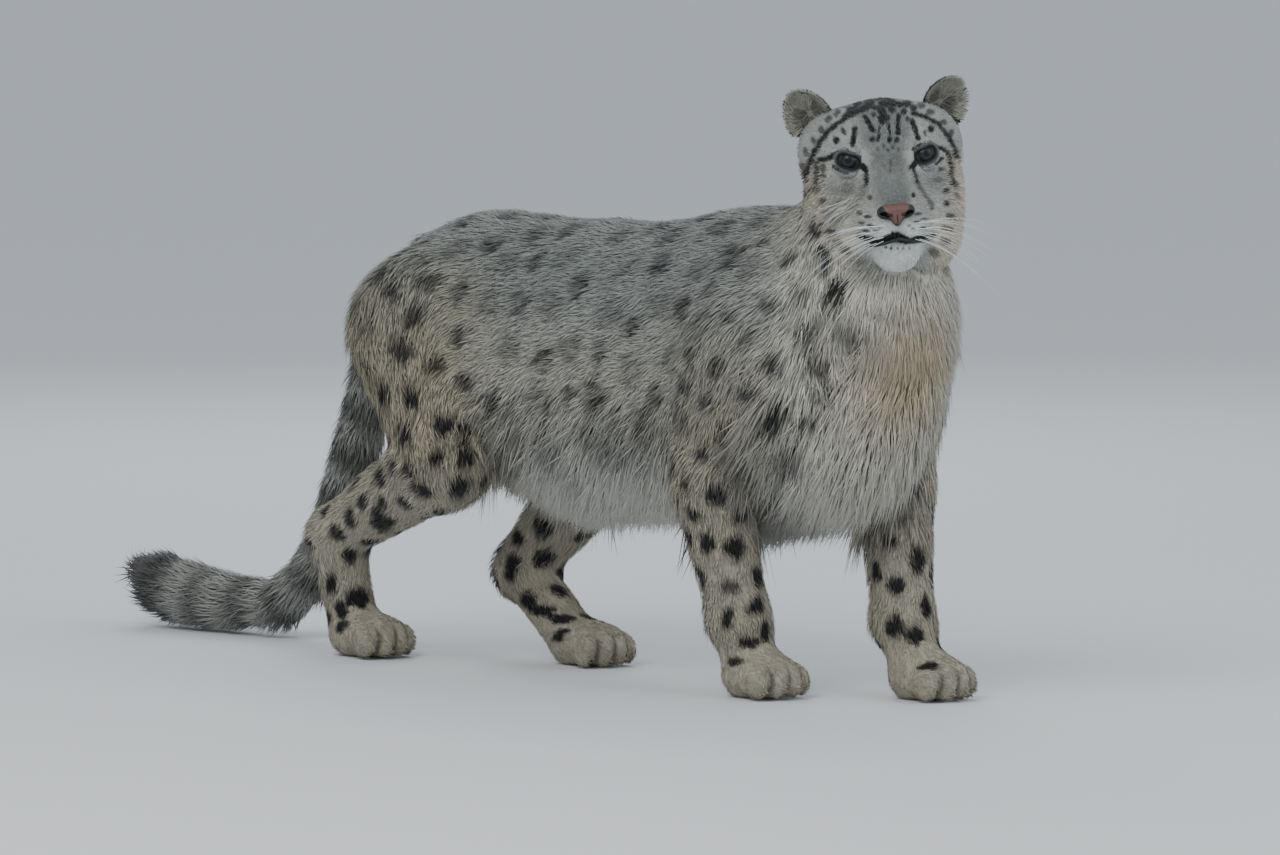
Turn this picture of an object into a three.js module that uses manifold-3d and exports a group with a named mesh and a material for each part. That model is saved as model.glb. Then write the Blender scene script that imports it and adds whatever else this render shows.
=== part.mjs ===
// A snow leopard that stands still with its head turned to its right, at life size, in millimetres.
// +X runs from the rump to the chest, +Y is the animal's left, +Z is up, and the floor is at Z = 0.
// The origin is the middle of the footprint of its bounding box. The outer surface is the tips of the coat.
import * as THREE from "three";
import { mergeVertices } from "three/addons/utils/BufferGeometryUtils.js";
import Module from "manifold-3d";

const wasm = await Module();
wasm.setup();

// Driving dimensions of the animal, over its winter coat
const SHOULDER_HEIGHT = 618;
const BACK_HEIGHT = 604;
const BELLY_HEIGHT = 182;
const CHEST_HALF_WIDTH = 160;
const RUMP_HALF_WIDTH = 146;
const PAW_HEIGHT = 58;
const TAIL_RADIUS = 45;
const GAP = 0.35;
const FLOOR = 0;

// Where the head is: a point a little below the eyes' middle, and how the face is turned, in degrees
const FACE = [430, -62, 660];
const HEAD_YAW = -41;
const HEAD_PITCH = 3;
const HEAD_ROLL = 5;

// Joints of the legs, as they stand. Each paw point is the middle of the foot.
const LEGS = {
  fore_right: {
    hip: [235, -92, 420],
    knee: [168, -98, 272],
    ankle: [192, -74, 96],
    paw: [232, -70],
    heading: -6,
  },
  fore_left: {
    hip: [280, 92, 420],
    knee: [300, 92, 272],
    ankle: [336, 70, 96],
    paw: [392, 62],
    heading: -4,
  },
  hind_right: {
    hip: [-365, -88, 430],
    knee: [-300, -112, 272],
    ankle: [-522, -94, 158],
    paw: [-466, -84],
    heading: -4,
  },
  hind_left: {
    hip: [-365, 88, 430],
    knee: [-222, 100, 262],
    ankle: [-330, 58, 116],
    paw: [-186, 44],
    heading: -8,
  },
};

// The tail's middle line, from the rump to the tip, where it lies on the floor
const TAIL_LINE = [
  [-420, 0, 520],
  [-492, 0, 455],
  [-546, 0, 372],
  [-582, 0, 275],
  [-620, 0, 175],
  [-666, -2, 97],
  [-728, -4, 50],
  [-796, -8, 44],
  [-866, -12, 45],
  [-930, -16, 52],
  [-976, -20, 66],
];

// Distance fields: each takes a point and gives a rough distance to a surface, negative inside it
const smooth = (t) => t * t * (3 - 2 * t);
const clamp = (v, low, high) => Math.min(Math.max(v, low), high);
const ramp = (v, from, to) => smooth(clamp((v - from) / (to - from), 0, 1));

const ball = (centre, radii) => (x, y, z) => {
  const dx = (x - centre[0]) / radii[0];
  const dy = (y - centre[1]) / radii[1];
  const dz = (z - centre[2]) / radii[2];
  const k0 = Math.hypot(dx, dy, dz);
  const k1 = Math.hypot(dx / radii[0], dy / radii[1], dz / radii[2]);
  return k1 < 1e-9 ? -Math.min(...radii) : (k0 * (k0 - 1)) / k1;
};

// A rounded rod whose radius changes from one end to the other, as wide sideways as spread says
const rod =
  (a, radiusA, b, radiusB, spread = 1) =>
  (x, y, z) => {
    const d = [b[0] - a[0], (b[1] - a[1]) / spread, b[2] - a[2]];
    const p = [x - a[0], (y - a[1]) / spread, z - a[2]];
    const along = (p[0] * d[0] + p[1] * d[1] + p[2] * d[2]) / (d[0] ** 2 + d[1] ** 2 + d[2] ** 2);
    const h = clamp(along, 0, 1);
    const away = Math.hypot(p[0] - h * d[0], p[1] - h * d[1], p[2] - h * d[2]);
    return away - (radiusA + (radiusB - radiusA) * h);
  };

const blendTwo = (a, b, k) => {
  const h = Math.max(k - Math.abs(a - b), 0) / k;
  return Math.min(a, b) - (h * h * k) / 4;
};

const blend =
  (k, ...fields) =>
  (x, y, z) =>
    fields.map((field) => field(x, y, z)).reduce((a, b) => blendTwo(a, b, k));

const bothSides = (field) => (x, y, z) => field(x, Math.abs(y), z);

// The head, in its own frame: x forward, y to its left, z up, from a point a little below the eyes' middle
const EYE_SIDE = 45;
const EYE_UP = 14;
const EYE_RADIUS = 16;

const skull = blend(
  34,
  ball([-62, 0, 14], [90, 86, 79]),
  bothSides(ball([-70, 60, 24], [54, 46, 52])),
  bothSides(ball([-58, 51, -34], [62, 57, 62])),
  bothSides(ball([-62, 50, -84], [54, 50, 56])),
  bothSides(ball([-26, 36, -84], [52, 40, 42])),
);
const muzzle = blend(
  20,
  rod([-18, 0, 10], 25, [44, 0, -40], 19, 1.32),
  rod([-20, 0, -50], 44, [28, 0, -70], 32),
  bothSides(ball([42, 21, -76], [27, 25, 22])),
  ball([26, 0, -106], [28, 30, 24]),
);
const brows = bothSides(
  blend(10, ball([-22, 40, 38], [22, 24, 12]), ball([-16, 49, -14], [20, 24, 13])),
);
const headField = blend(16, blend(26, skull, muzzle), brows);

// Where the front of the head is at a point of the face, and how far back that sets the eyes
const faceDepth = (side, up) => {
  let forward = 110;
  while (forward > -80 && headField(forward, side, up) > 0.05) {
    forward -= Math.max(headField(forward, side, up) * 0.5, 0.05);
  }
  return forward;
};
const EYE_FORWARD = faceDepth(EYE_SIDE, EYE_UP) - EYE_RADIUS + 1;

const headMatrix = new THREE.Matrix4()
  .makeRotationFromEuler(
    new THREE.Euler(
      THREE.MathUtils.degToRad(HEAD_ROLL),
      THREE.MathUtils.degToRad(-HEAD_PITCH),
      THREE.MathUtils.degToRad(HEAD_YAW),
      "ZYX",
    ),
  )
  .setPosition(...FACE);
const headInverse = headMatrix.clone().invert();

const inHead = (field) => {
  const m = headInverse.elements;
  return (x, y, z) =>
    field(
      m[0] * x + m[4] * y + m[8] * z + m[12],
      m[1] * x + m[5] * y + m[9] * z + m[13],
      m[2] * x + m[6] * y + m[10] * z + m[14],
    );
};

// The torso, from chest to rump, and the neck
const middle = (top, bottom) => (top + bottom) / 2;
const half = (top, bottom) => (top - bottom) / 2;
const torsoField = blend(
  70,
  ball(
    [160, 0, middle(SHOULDER_HEIGHT, BELLY_HEIGHT)],
    [255, CHEST_HALF_WIDTH, half(SHOULDER_HEIGHT, BELLY_HEIGHT)],
  ),
  ball([-90, 0, middle(BACK_HEIGHT, BELLY_HEIGHT + 6) - 4], [270, 150, half(BACK_HEIGHT, BELLY_HEIGHT + 6) - 4]),
  ball([-300, 0, 420], [205, RUMP_HALF_WIDTH, 180]),
  ball([305, 0, 405], [138, 142, 172]),
);
const neckField = blend(
  50,
  rod([255, 0, 480], 128, [372, -22, 618], 92),
  ball([350, 6, 490], [106, 122, 138]),
);

// One leg, as its upper part, shank and the stretch down to the paw
const legField = ({ hip, knee, ankle, paw }, sizes) =>
  blend(
    26,
    rod(hip, sizes.hip, knee, sizes.knee, 0.82),
    rod(knee, sizes.knee * 0.92, ankle, sizes.ankle),
    rod(ankle, sizes.ankle, [paw[0] - sizes.heel, paw[1], PAW_HEIGHT * 0.55], sizes.ankle * 0.94),
  );
const FORE_SIZES = { hip: 108, knee: 64, ankle: 43, heel: 22 };
const HIND_SIZES = { hip: 118, knee: 76, ankle: 42, heel: 36 };

const local = (x, y, heading) => {
  const a = THREE.MathUtils.degToRad(heading);
  return (px, py) => [
    (px - x) * Math.cos(a) + (py - y) * Math.sin(a),
    -(px - x) * Math.sin(a) + (py - y) * Math.cos(a),
  ];
};

// A paw with four toes
const pawField = ({ paw, heading }) => {
  const to = local(paw[0], paw[1], heading);
  const toes = [-34, -12, 12, 34].map((side) =>
    ball([40 - Math.abs(side) * 0.5, side, 22], [24, 15, 24]),
  );
  const foot = blend(
    9,
    blend(22, ball([-18, 0, 26], [40, 42, 34]), ball([14, 0, 30], [38, 42, 30])),
    ...toes,
  );
  return (x, y, z) => foot(...to(x, y), z);
};

const tailRadius = (t) => TAIL_RADIUS * (0.98 + 0.2 * ramp(t, 0.72, 0.9));
const tailStart = rod(TAIL_LINE[0], TAIL_RADIUS * 1.1, TAIL_LINE[2], TAIL_RADIUS);

const legs = Object.fromEntries(
  Object.entries(LEGS).map(([name, joints]) => [
    name,
    legField(joints, name.startsWith("fore") ? FORE_SIZES : HIND_SIZES),
  ]),
);
const paws = Object.fromEntries(Object.entries(LEGS).map(([name, joints]) => [name, pawField(joints)]));

const trunkField = blend(60, torsoField, neckField);
const bodyField = (x, y, z) => {
  let d = trunkField(x, y, z);
  for (const name of Object.keys(LEGS)) {
    const leg = blendTwo(legs[name](x, y, z), paws[name](x, y, z), 22);
    d = blendTwo(d, leg, 40);
  }
  d = blendTwo(d, tailStart(x, y, z), 40);
  return blendTwo(d, inHead(headField)(x, y, z), 30);
};

// Grid lines from low to high, with steps that change at the marks: steps([0, 10, 60, 5, 90]) goes by 10 and then by 5
const steps = (marks) => {
  const lines = [marks[0]];
  for (let i = 1; i < marks.length; i += 2) {
    const from = marks[i - 1];
    const to = marks[i + 1];
    const count = Math.max(1, Math.round((to - from) / marks[i]));
    for (let k = 1; k <= count; k++) lines.push(from + ((to - from) * k) / count);
  }
  return lines;
};

const gradient = (field, p, e = 0.5) => [
  (field(p[0] + e, p[1], p[2]) - field(p[0] - e, p[1], p[2])) / (2 * e),
  (field(p[0], p[1] + e, p[2]) - field(p[0], p[1] - e, p[2])) / (2 * e),
  (field(p[0], p[1], p[2] + e) - field(p[0], p[1], p[2] - e)) / (2 * e),
];

// Moves a point onto the surface of a field
const settle = (field, start, most) => {
  let p = start;
  for (let i = 0; i < 4; i++) {
    const g = gradient(field, p);
    const d = field(...p) / Math.max(g[0] ** 2 + g[1] ** 2 + g[2] ** 2, 0.2);
    p = p.map((v, k) => v - clamp(d * g[k], -most, most));
  }
  return p;
};

// The surface of a field as a closed geometry: one point in each grid cell that the surface crosses
const surfaceOf = (whole, [xs, ys, zs]) => {
  const [nx, ny, nz] = [xs.length, ys.length, zs.length];
  const within = (v, lines) => Math.max(lines[1] - v, v - lines[lines.length - 2]);
  const field = (x, y, z) => Math.max(whole(x, y, z), within(x, xs), within(y, ys), within(z, zs));
  const at = (i, j, k) => (i * ny + j) * nz + k;
  const value = new Float64Array(nx * ny * nz);
  for (let i = 0; i < nx; i++)
    for (let j = 0; j < ny; j++) for (let k = 0; k < nz; k++) value[at(i, j, k)] = field(xs[i], ys[j], zs[k]);
  const corner = (i, j, k) => [xs[i], ys[j], zs[k]];
  const points = [];
  const cell = new Map();
  const pointOf = (i, j, k) => {
    const key = at(i, j, k);
    if (cell.has(key)) return cell.get(key);
    const sum = [0, 0, 0];
    let crossings = 0;
    for (let axis = 0; axis < 3; axis++)
      for (let u = 0; u < 2; u++)
        for (let v = 0; v < 2; v++) {
          const low = [i, j, k];
          low[(axis + 1) % 3] += u;
          low[(axis + 2) % 3] += v;
          const high = [...low];
          high[axis] += 1;
          const a = value[at(...low)];
          const b = value[at(...high)];
          if (a < 0 === b < 0) continue;
          const t = a / (a - b);
          const [p, q] = [corner(...low), corner(...high)];
          for (let c = 0; c < 3; c++) sum[c] += p[c] + (q[c] - p[c]) * t;
          crossings += 1;
        }
    const size = Math.min(xs[i + 1] - xs[i], ys[j + 1] - ys[j], zs[k + 1] - zs[k]);
    const mean = sum.map((s) => s / crossings);
    cell.set(key, points.length);
    points.push(settle(field, mean, size * 0.3));
    return points.length - 1;
  };
  const triangles = [];
  const apart = (a, b) => Math.hypot(points[a][0] - points[b][0], points[a][1] - points[b][1], points[a][2] - points[b][2]);
  const quad = (a, b, c, d) => {
    if (apart(a, c) < apart(b, d)) triangles.push(a, b, c, a, c, d);
    else triangles.push(a, b, d, b, c, d);
  };
  for (let i = 1; i < nx - 1; i++)
    for (let j = 1; j < ny - 1; j++)
      for (let k = 1; k < nz - 1; k++)
        for (let axis = 0; axis < 3; axis++) {
          const next = [i, j, k];
          next[axis] += 1;
          const inside = value[at(i, j, k)] < 0;
          if (inside === value[at(...next)] < 0) continue;
          const ring = [
            [0, 0],
            [-1, 0],
            [-1, -1],
            [0, -1],
          ].map(([u, v]) => {
            const c = [i, j, k];
            c[(axis + 1) % 3] += u;
            c[(axis + 2) % 3] += v;
            return pointOf(...c);
          });
          quad(...(inside ? ring : ring.reverse()));
        }
  const geometry = new THREE.BufferGeometry();
  geometry.setAttribute("position", new THREE.Float32BufferAttribute(points.flat(), 3));
  geometry.setIndex(triangles);
  return geometry;
};

// A closed geometry through rings of points that all have the same count, with flat ends
const loft = (rings) => {
  const n = rings[0].length;
  const index = [];
  for (let r = 0; r + 1 < rings.length; r++)
    for (let k = 0; k < n; k++) {
      const a = r * n + k;
      const b = r * n + ((k + 1) % n);
      index.push(a, b, b + n, a, b + n, a + n);
    }
  const last = (rings.length - 1) * n;
  for (let k = 1; k + 1 < n; k++) index.push(0, k + 1, k, last, last + k, last + k + 1);
  const geometry = new THREE.BufferGeometry();
  geometry.setAttribute("position", new THREE.Float32BufferAttribute(rings.flat(2), 3));
  geometry.setIndex(index);
  return geometry;
};

const solidOf = (geometry) => {
  const bare = geometry.clone();
  bare.deleteAttribute("normal");
  bare.deleteAttribute("uv");
  const merged = mergeVertices(bare, 1e-4);
  const build = (triVerts) =>
    new wasm.Manifold(
      new wasm.Mesh({
        numProp: 3,
        vertProperties: new Float32Array(merged.attributes.position.array),
        triVerts,
      }),
    );
  const triVerts = new Uint32Array(merged.index.array);
  const solid = build(triVerts);
  return solid.volume() > 0 ? solid : build(triVerts.slice().reverse());
};

const box = (low, high) => {
  const size = high.map((v, k) => v - low[k]);
  const geometry = new THREE.BoxGeometry(...size);
  geometry.translate(...low.map((v, k) => v + size[k] / 2));
  return solidOf(geometry);
};

const largest = (solid) => solid.decompose().reduce((a, b) => (a.volume() > b.volume() ? a : b));

// Edges shorter than this are drawn together, so that no sliver is left where solids were cut
const SHORTEST_EDGE = 0.05;
const geometryOf = (solid) => {
  const mesh = solid.simplify(SHORTEST_EDGE).getMesh();
  const positions = new Float32Array(mesh.numVert * 3);
  for (let i = 0; i < mesh.numVert; i++)
    for (let k = 0; k < 3; k++) positions[i * 3 + k] = mesh.vertProperties[i * mesh.numProp + k];
  const geometry = new THREE.BufferGeometry();
  geometry.setAttribute("position", new THREE.BufferAttribute(positions, 3));
  geometry.setIndex(new THREE.BufferAttribute(new Uint32Array(mesh.triVerts), 1));
  return geometry;
};

const placed = (geometry, matrix) => geometry.clone().applyMatrix4(matrix);

// The floor cut gives every sole a small flat
const belowFloor = box([-1300, -500, -200], [900, 500, FLOOR]);

// The head is cut from the neck by a plane that slants with the jaw, given in the head's own frame
const HEAD_CUT = { behind: -92, lean: 0.75 };
const headCutGeometry = (shift) => {
  const face = new THREE.Shape([
    new THREE.Vector2(HEAD_CUT.behind + shift + 700 * HEAD_CUT.lean, -700),
    new THREE.Vector2(HEAD_CUT.behind + shift - 200 * HEAD_CUT.lean, 200),
    new THREE.Vector2(-900, 200),
    new THREE.Vector2(-900, -700),
  ]);
  const slab = new THREE.ExtrudeGeometry(face, { depth: 800, bevelEnabled: false });
  slab.applyMatrix4(
    new THREE.Matrix4().makeBasis(new THREE.Vector3(1, 0, 0), new THREE.Vector3(0, 0, 1), new THREE.Vector3(0, -1, 0)),
  );
  slab.translate(0, 400, 0);
  return placed(slab, headMatrix);
};

const headGrid = [
  steps([-220, 24, -52, 11, 92]),
  steps([-160, 20, -72, 10.5, 72, 20, 160]),
  steps([-212, 18, -122, 10.5, 46, 17, 128]),
];

// The eye: a round ball with a flat back
const eyeGeometry = (extra) => {
  const radius = EYE_RADIUS + extra;
  const profile = [new THREE.Vector2(0, -radius * 0.3 - extra)];
  for (let k = 0; k <= 7; k++) {
    const a = THREE.MathUtils.degToRad(-17.5 + (107.5 * k) / 7);
    profile.push(new THREE.Vector2(k === 7 ? 0 : radius * Math.cos(a), radius * Math.sin(a)));
  }
  const geometry = new THREE.LatheGeometry(profile, 16);
  geometry.rotateZ(-Math.PI / 2);
  return geometry;
};
const eyeMatrix = (side) =>
  headMatrix
    .clone()
    .multiply(new THREE.Matrix4().makeTranslation(EYE_FORWARD, EYE_SIDE * side, EYE_UP))
    .multiply(new THREE.Matrix4().makeRotationZ(0.2 * side));

// The slit between the lids: how far it opens from the eye's axis, in degrees, round the axis
const LID_SLANT = THREE.MathUtils.degToRad(20);
const lidOpening = (turn, side) => {
  const slant = turn - side * LID_SLANT;
  const down = Math.max(0, -Math.sin(slant));
  return 26 + 25 * Math.abs(Math.cos(slant)) ** 2.4 + 5 * down;
};
const LID_SIDES = 24;
const onEye = (turn, polar, radius) => {
  const a = THREE.MathUtils.degToRad(polar);
  return [radius * Math.cos(a), radius * Math.sin(a) * Math.cos(turn), radius * Math.sin(a) * Math.sin(turn)];
};
const turns = Array.from({ length: LID_SIDES }, (_, k) => (2 * Math.PI * k) / LID_SIDES);
const lidRings = (side) => {
  const inner = EYE_RADIUS + GAP;
  const outer = EYE_RADIUS + 3.6;
  const ring = (radius, extra) => turns.map((turn) => onEye(turn, lidOpening(turn, side) + extra, radius));
  return [ring(inner, 0), ring(outer, 2), ring(outer + 0.6, 22), ring(outer - 0.4, 52), ring(inner - 4, 50), ring(inner, 20)];
};
const tube = (rings) => {
  const n = rings[0].length;
  const index = [];
  rings.forEach((_, r) => {
    const next = ((r + 1) % rings.length) * n;
    for (let k = 0; k < n; k++) {
      const a = r * n + k;
      const b = r * n + ((k + 1) % n);
      index.push(a, next + ((k + 1) % n), b, a, next + k, next + ((k + 1) % n));
    }
  });
  const geometry = new THREE.BufferGeometry();
  geometry.setAttribute("position", new THREE.Float32BufferAttribute(rings.flat(2), 3));
  geometry.setIndex(index);
  return geometry;
};
const lidOpeningGeometry = (side) =>
  loft(
    [4, EYE_RADIUS + 22].map((radius) =>
      turns.map((turn) => onEye(turn, lidOpening(turn, side) + 1, radius)),
    ),
  );

// The nose pad: a wide top that narrows to the groove of the upper lip
const NOSE = { forward: 51, up: -55, halfWidth: 23, height: 25, depth: 22, lean: 0.16 };
const nosePad = (extra) => {
  const w = NOSE.halfWidth + extra;
  const top = 10 + extra;
  const foot = top - NOSE.height - 2 * extra;
  const outline = new THREE.Shape();
  outline.moveTo(0, foot);
  outline.quadraticCurveTo(w * 0.3, foot + 2, w * 0.5, foot + 11);
  outline.quadraticCurveTo(w * 1.05, top - 9, w, top - 2);
  outline.quadraticCurveTo(w * 0.5, top + 3.5, 0, top);
  outline.quadraticCurveTo(-w * 0.5, top + 3.5, -w, top - 2);
  outline.quadraticCurveTo(-w * 1.05, top - 9, -w * 0.5, foot + 11);
  outline.quadraticCurveTo(-w * 0.3, foot + 2, 0, foot);
  const geometry = new THREE.ExtrudeGeometry(outline, {
    depth: NOSE.depth - 6 + extra,
    bevelEnabled: true,
    bevelSize: 3,
    bevelThickness: 4,
    bevelOffset: -3,
    bevelSegments: 2,
    curveSegments: 4,
  });
  geometry.applyMatrix4(
    new THREE.Matrix4().makeBasis(new THREE.Vector3(0, 1, 0), new THREE.Vector3(0, 0, 1), new THREE.Vector3(1, 0, 0)),
  );
  geometry.rotateY(-NOSE.lean);
  geometry.translate(NOSE.forward, 0, NOSE.up);
  return placed(geometry, headMatrix);
};
const nostril = (side) => {
  const hole = new THREE.SphereGeometry(1, 10, 7);
  hole.scale(7, 8.5, 4);
  hole.rotateX(0.55 * side);
  hole.translate(NOSE.forward + NOSE.depth - 2, 12.5 * side, NOSE.up - 2);
  return placed(hole, headMatrix);
};

// The line of the mouth, seen from the front: how high it lies at each distance from the middle
const MOUTH_HALF_WIDTH = 40;
const mouthHeight = (side) => {
  const s = Math.abs(side) / MOUTH_HALF_WIDTH;
  return -85 - 6 * Math.sin(Math.min(s * 1.9, 1.5));
};
const mouthCutter = () => {
  const count = 18;
  const rings = [];
  for (let k = 0; k <= count; k++) {
    const side = MOUTH_HALF_WIDTH * (-1 + (2 * k) / count);
    const up = mouthHeight(side);
    const forward = faceDepth(side, up);
    const depth = 9 * Math.sqrt(Math.max(1 - (side / MOUTH_HALF_WIDTH) ** 2, 0.02));
    const open = 0.6 + 1.3 * (1 - (side / MOUTH_HALF_WIDTH) ** 2);
    rings.push([
      [forward - depth, side, up - 0.3],
      [forward + 14, side, up - open - 2],
      [forward + 14, side, up + open + 1],
      [forward - depth, side, up + 0.3],
    ]);
  }
  return placed(loft(rings), headMatrix);
};

// A round ear: a cup that opens forward
const EAR = { side: 86, up: 74, forward: -62, halfWidth: 27, halfHeight: 31, cup: 19, wall: 6, taper: 0.16 };
const earRings = () => {
  const around = 16;
  const ring = (share, back, push) =>
    Array.from({ length: around }, (_, k) => {
      const a = (2 * Math.PI * k) / around;
      return [
        -back * Math.sqrt(Math.max(1 - (share * 0.94) ** 2, 0)) + push,
        EAR.halfWidth * share * Math.cos(a) * (1 - EAR.taper * share * Math.sin(a)),
        EAR.halfHeight * share * Math.sin(a),
      ];
    });
  return [
    ring(0.12, EAR.cup - EAR.wall, 0),
    ring(0.5, EAR.cup - EAR.wall, 0),
    ring(0.84, EAR.cup - EAR.wall, 2),
    ring(0.96, EAR.cup - EAR.wall, 5),
    ring(1, EAR.cup * 0.7, 3),
    ring(0.98, EAR.cup, 0),
    ring(0.7, EAR.cup, 0),
    ring(0.3, EAR.cup, 0),
  ];
};
const earSolid = (side) => {
  const cup = loft(earRings());
  cup.rotateZ(0.42 * side);
  cup.rotateX(-0.5 * side);
  cup.translate(EAR.forward, EAR.side * side, EAR.up);
  const foot = new THREE.SphereGeometry(1, 10, 8);
  foot.scale(18, 26, 26);
  foot.rotateX(-0.7 * side);
  foot.translate(EAR.forward - 26, (EAR.side - 12) * side, EAR.up - 18);
  return solidOf(placed(cup, headMatrix)).add(solidOf(placed(foot, headMatrix)));
};

const solids = {};

// Head with its lids, nose and mouth
const bodySeenFromHead = (x, y, z) => {
  const m = headMatrix.elements;
  return bodyField(
    m[0] * x + m[4] * y + m[8] * z + m[12],
    m[1] * x + m[5] * y + m[9] * z + m[13],
    m[2] * x + m[6] * y + m[10] * z + m[14],
  );
};
const headShell = (inflate) =>
  solidOf(placed(surfaceOf((x, y, z) => bodySeenFromHead(x, y, z) - inflate, headGrid), headMatrix));
let head = headShell(0);
for (const side of [-1, 1]) {
  const matrix = eyeMatrix(side);
  head = head
    .subtract(solidOf(placed(lidOpeningGeometry(side), matrix)))
    .add(solidOf(placed(tube(lidRings(side)), matrix)))
    .subtract(solidOf(placed(eyeGeometry(GAP), matrix)));
}
head = head.subtract(solidOf(nosePad(GAP))).subtract(solidOf(mouthCutter()));
const headBlock = solidOf(headCutGeometry(0));
solids.head = largest(head.subtract(headBlock));
solids.nose = largest(solidOf(nosePad(0)).subtract(solidOf(nostril(1))).subtract(solidOf(nostril(-1))));
for (const [name, side] of [["right", -1], ["left", 1]]) {
  solids[`eye_${name}`] = solidOf(placed(eyeGeometry(0), eyeMatrix(side)));
  solids[`ear_${name}`] = largest(earSolid(side).subtract(headShell(GAP)));
}

// Trunk: one surface, parted into neck and torso, with the legs cut out of it
const trunkGrid = [steps([-640, 42, 560]), steps([-240, 27, 240]), steps([110, 27, 790])];
const trunk = solidOf(surfaceOf(bodyField, trunkGrid));

const legGrid = (joints) => {
  const xs = [joints.hip[0], joints.knee[0], joints.ankle[0], joints.paw[0]];
  return [
    steps([Math.min(...xs) - 190, 25, Math.max(...xs) + 190]),
    steps([-230, 23, 230]),
    steps([20, 28, 650]),
  ];
};
const pawGrid = ({ paw }) => [
  steps([paw[0] - 130, 15, paw[0] + 110]),
  steps([paw[1] - 75, 13, paw[1] + 75]),
  steps([-40, 14, 122]),
];

// A leg's own region: a round plug at the shoulder or hip, the side of the body under it, and all below the belly
const LEG_REGIONS = {
  fore_right: { plug: [215, 430, 122], inner: -62, flank: [95, 300], foot: [60, 330] },
  fore_left: { plug: [285, 430, 122], inner: 62, flank: [195, 385], foot: [190, 520] },
  hind_right: { plug: [-360, 405, 150], inner: -58, flank: [-590, -215], foot: [-640, -195] },
  hind_left: { plug: [-345, 405, 150], inner: 58, flank: [-450, -130], foot: [-460, -60] },
};
const UNDER_BELLY = BELLY_HEIGHT - 8;
const legRegion = ({ plug, inner, flank, foot }, side, gap) => {
  const disc = new THREE.CylinderGeometry(plug[2] - gap, plug[2] - gap, 300, 16);
  disc.translate(plug[0], side * (150 + gap) + inner, plug[1]);
  const outwards = (range, from, top) => {
    const [near, far] = side > 0 ? [from + gap, 400] : [-400, from - gap];
    return box([range[0] + gap, near, -50], [range[1] - gap, far, top - gap]);
  };
  return solidOf(disc).add(outwards(flank, inner, plug[1])).add(outwards(foot, 0, UNDER_BELLY));
};

const PAW_CUT = 78;
let torso = trunk;
for (const [name, joints] of Object.entries(LEGS)) {
  const side = name.endsWith("left") ? 1 : -1;
  const leg = solidOf(surfaceOf(bodyField, legGrid(joints))).intersect(legRegion(LEG_REGIONS[name], side, GAP));
  const paw = solidOf(surfaceOf(bodyField, pawGrid(joints))).subtract(belowFloor);
  torso = torso.subtract(legRegion(LEG_REGIONS[name], side, 0));
  const above = box([-1300, -500, PAW_CUT], [900, 500, 900]);
  const below = box([-1300, -500, -10], [900, 500, PAW_CUT - GAP]);
  solids[`${name}_leg`] = largest(leg.intersect(above));
  solids[`${name}_paw`] = largest(paw.intersect(below));
}
torso = largest(torso);

const headKept = solidOf(headCutGeometry(-GAP));
const NECK_CUT = { at: 262, lean: 0.55 };
const neckCut = (shift) => {
  const face = new THREE.Shape([
    new THREE.Vector2(NECK_CUT.at + shift + 300 * NECK_CUT.lean, 200),
    new THREE.Vector2(1000, 200),
    new THREE.Vector2(1000, 1000),
    new THREE.Vector2(NECK_CUT.at + shift - 500 * NECK_CUT.lean, 1000),
  ]);
  const slab = new THREE.ExtrudeGeometry(face, { depth: 800, bevelEnabled: false });
  slab.rotateX(Math.PI / 2);
  slab.translate(0, 400, 0);
  return solidOf(slab);
};
solids.neck = largest(torso.intersect(headKept).intersect(neckCut(GAP)));
solids.torso = largest(torso.subtract(neckCut(0)));

// The tail, in three lengths
const tailCurve = new THREE.CatmullRomCurve3(TAIL_LINE.map((p) => new THREE.Vector3(...p)));
const TAIL_SIDES = 16;
const tailLength = (from, to, rounded, extra = 0) => {
  const rings = [];
  const count = Math.round((to - from) * 26);
  for (let k = 0; k <= count; k++) {
    const t = from + ((to - from) * k) / count;
    const along = tailCurve.getTangent(t);
    const centre = tailCurve.getPoint(t).addScaledVector(along, k === 0 ? -extra : 0);
    const across = new THREE.Vector3(0, 1, 0).addScaledVector(along, -along.y).normalize();
    const up = new THREE.Vector3().crossVectors(along, across);
    const end = rounded ? Math.sqrt(1 - Math.max(0, (t - 0.9) / 0.104) ** 2) : 1;
    const r = tailRadius(t) * end + extra;
    rings.push(
      Array.from({ length: TAIL_SIDES }, (_, s) => {
        const a = (2 * Math.PI * s) / TAIL_SIDES;
        return centre
          .clone()
          .addScaledVector(across, r * Math.cos(a))
          .addScaledVector(up, r * Math.sin(a))
          .toArray();
      }),
    );
  }
  return solidOf(loft(rings));
};
const TAIL_PARTS = { tail_base: [0.12, 0.42], tail_middle: [0.42, 0.7], tail_tip: [0.7, 1] };
const tailGap = GAP / tailCurve.getLength();
for (const [name, [from, to]] of Object.entries(TAIL_PARTS)) {
  solids[name] = tailLength(from, to < 1 ? to - tailGap : to, to === 1).subtract(belowFloor);
}
solids.torso = largest(solids.torso.subtract(tailLength(...TAIL_PARTS.tail_base, false, 1.5 * GAP)));

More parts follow.
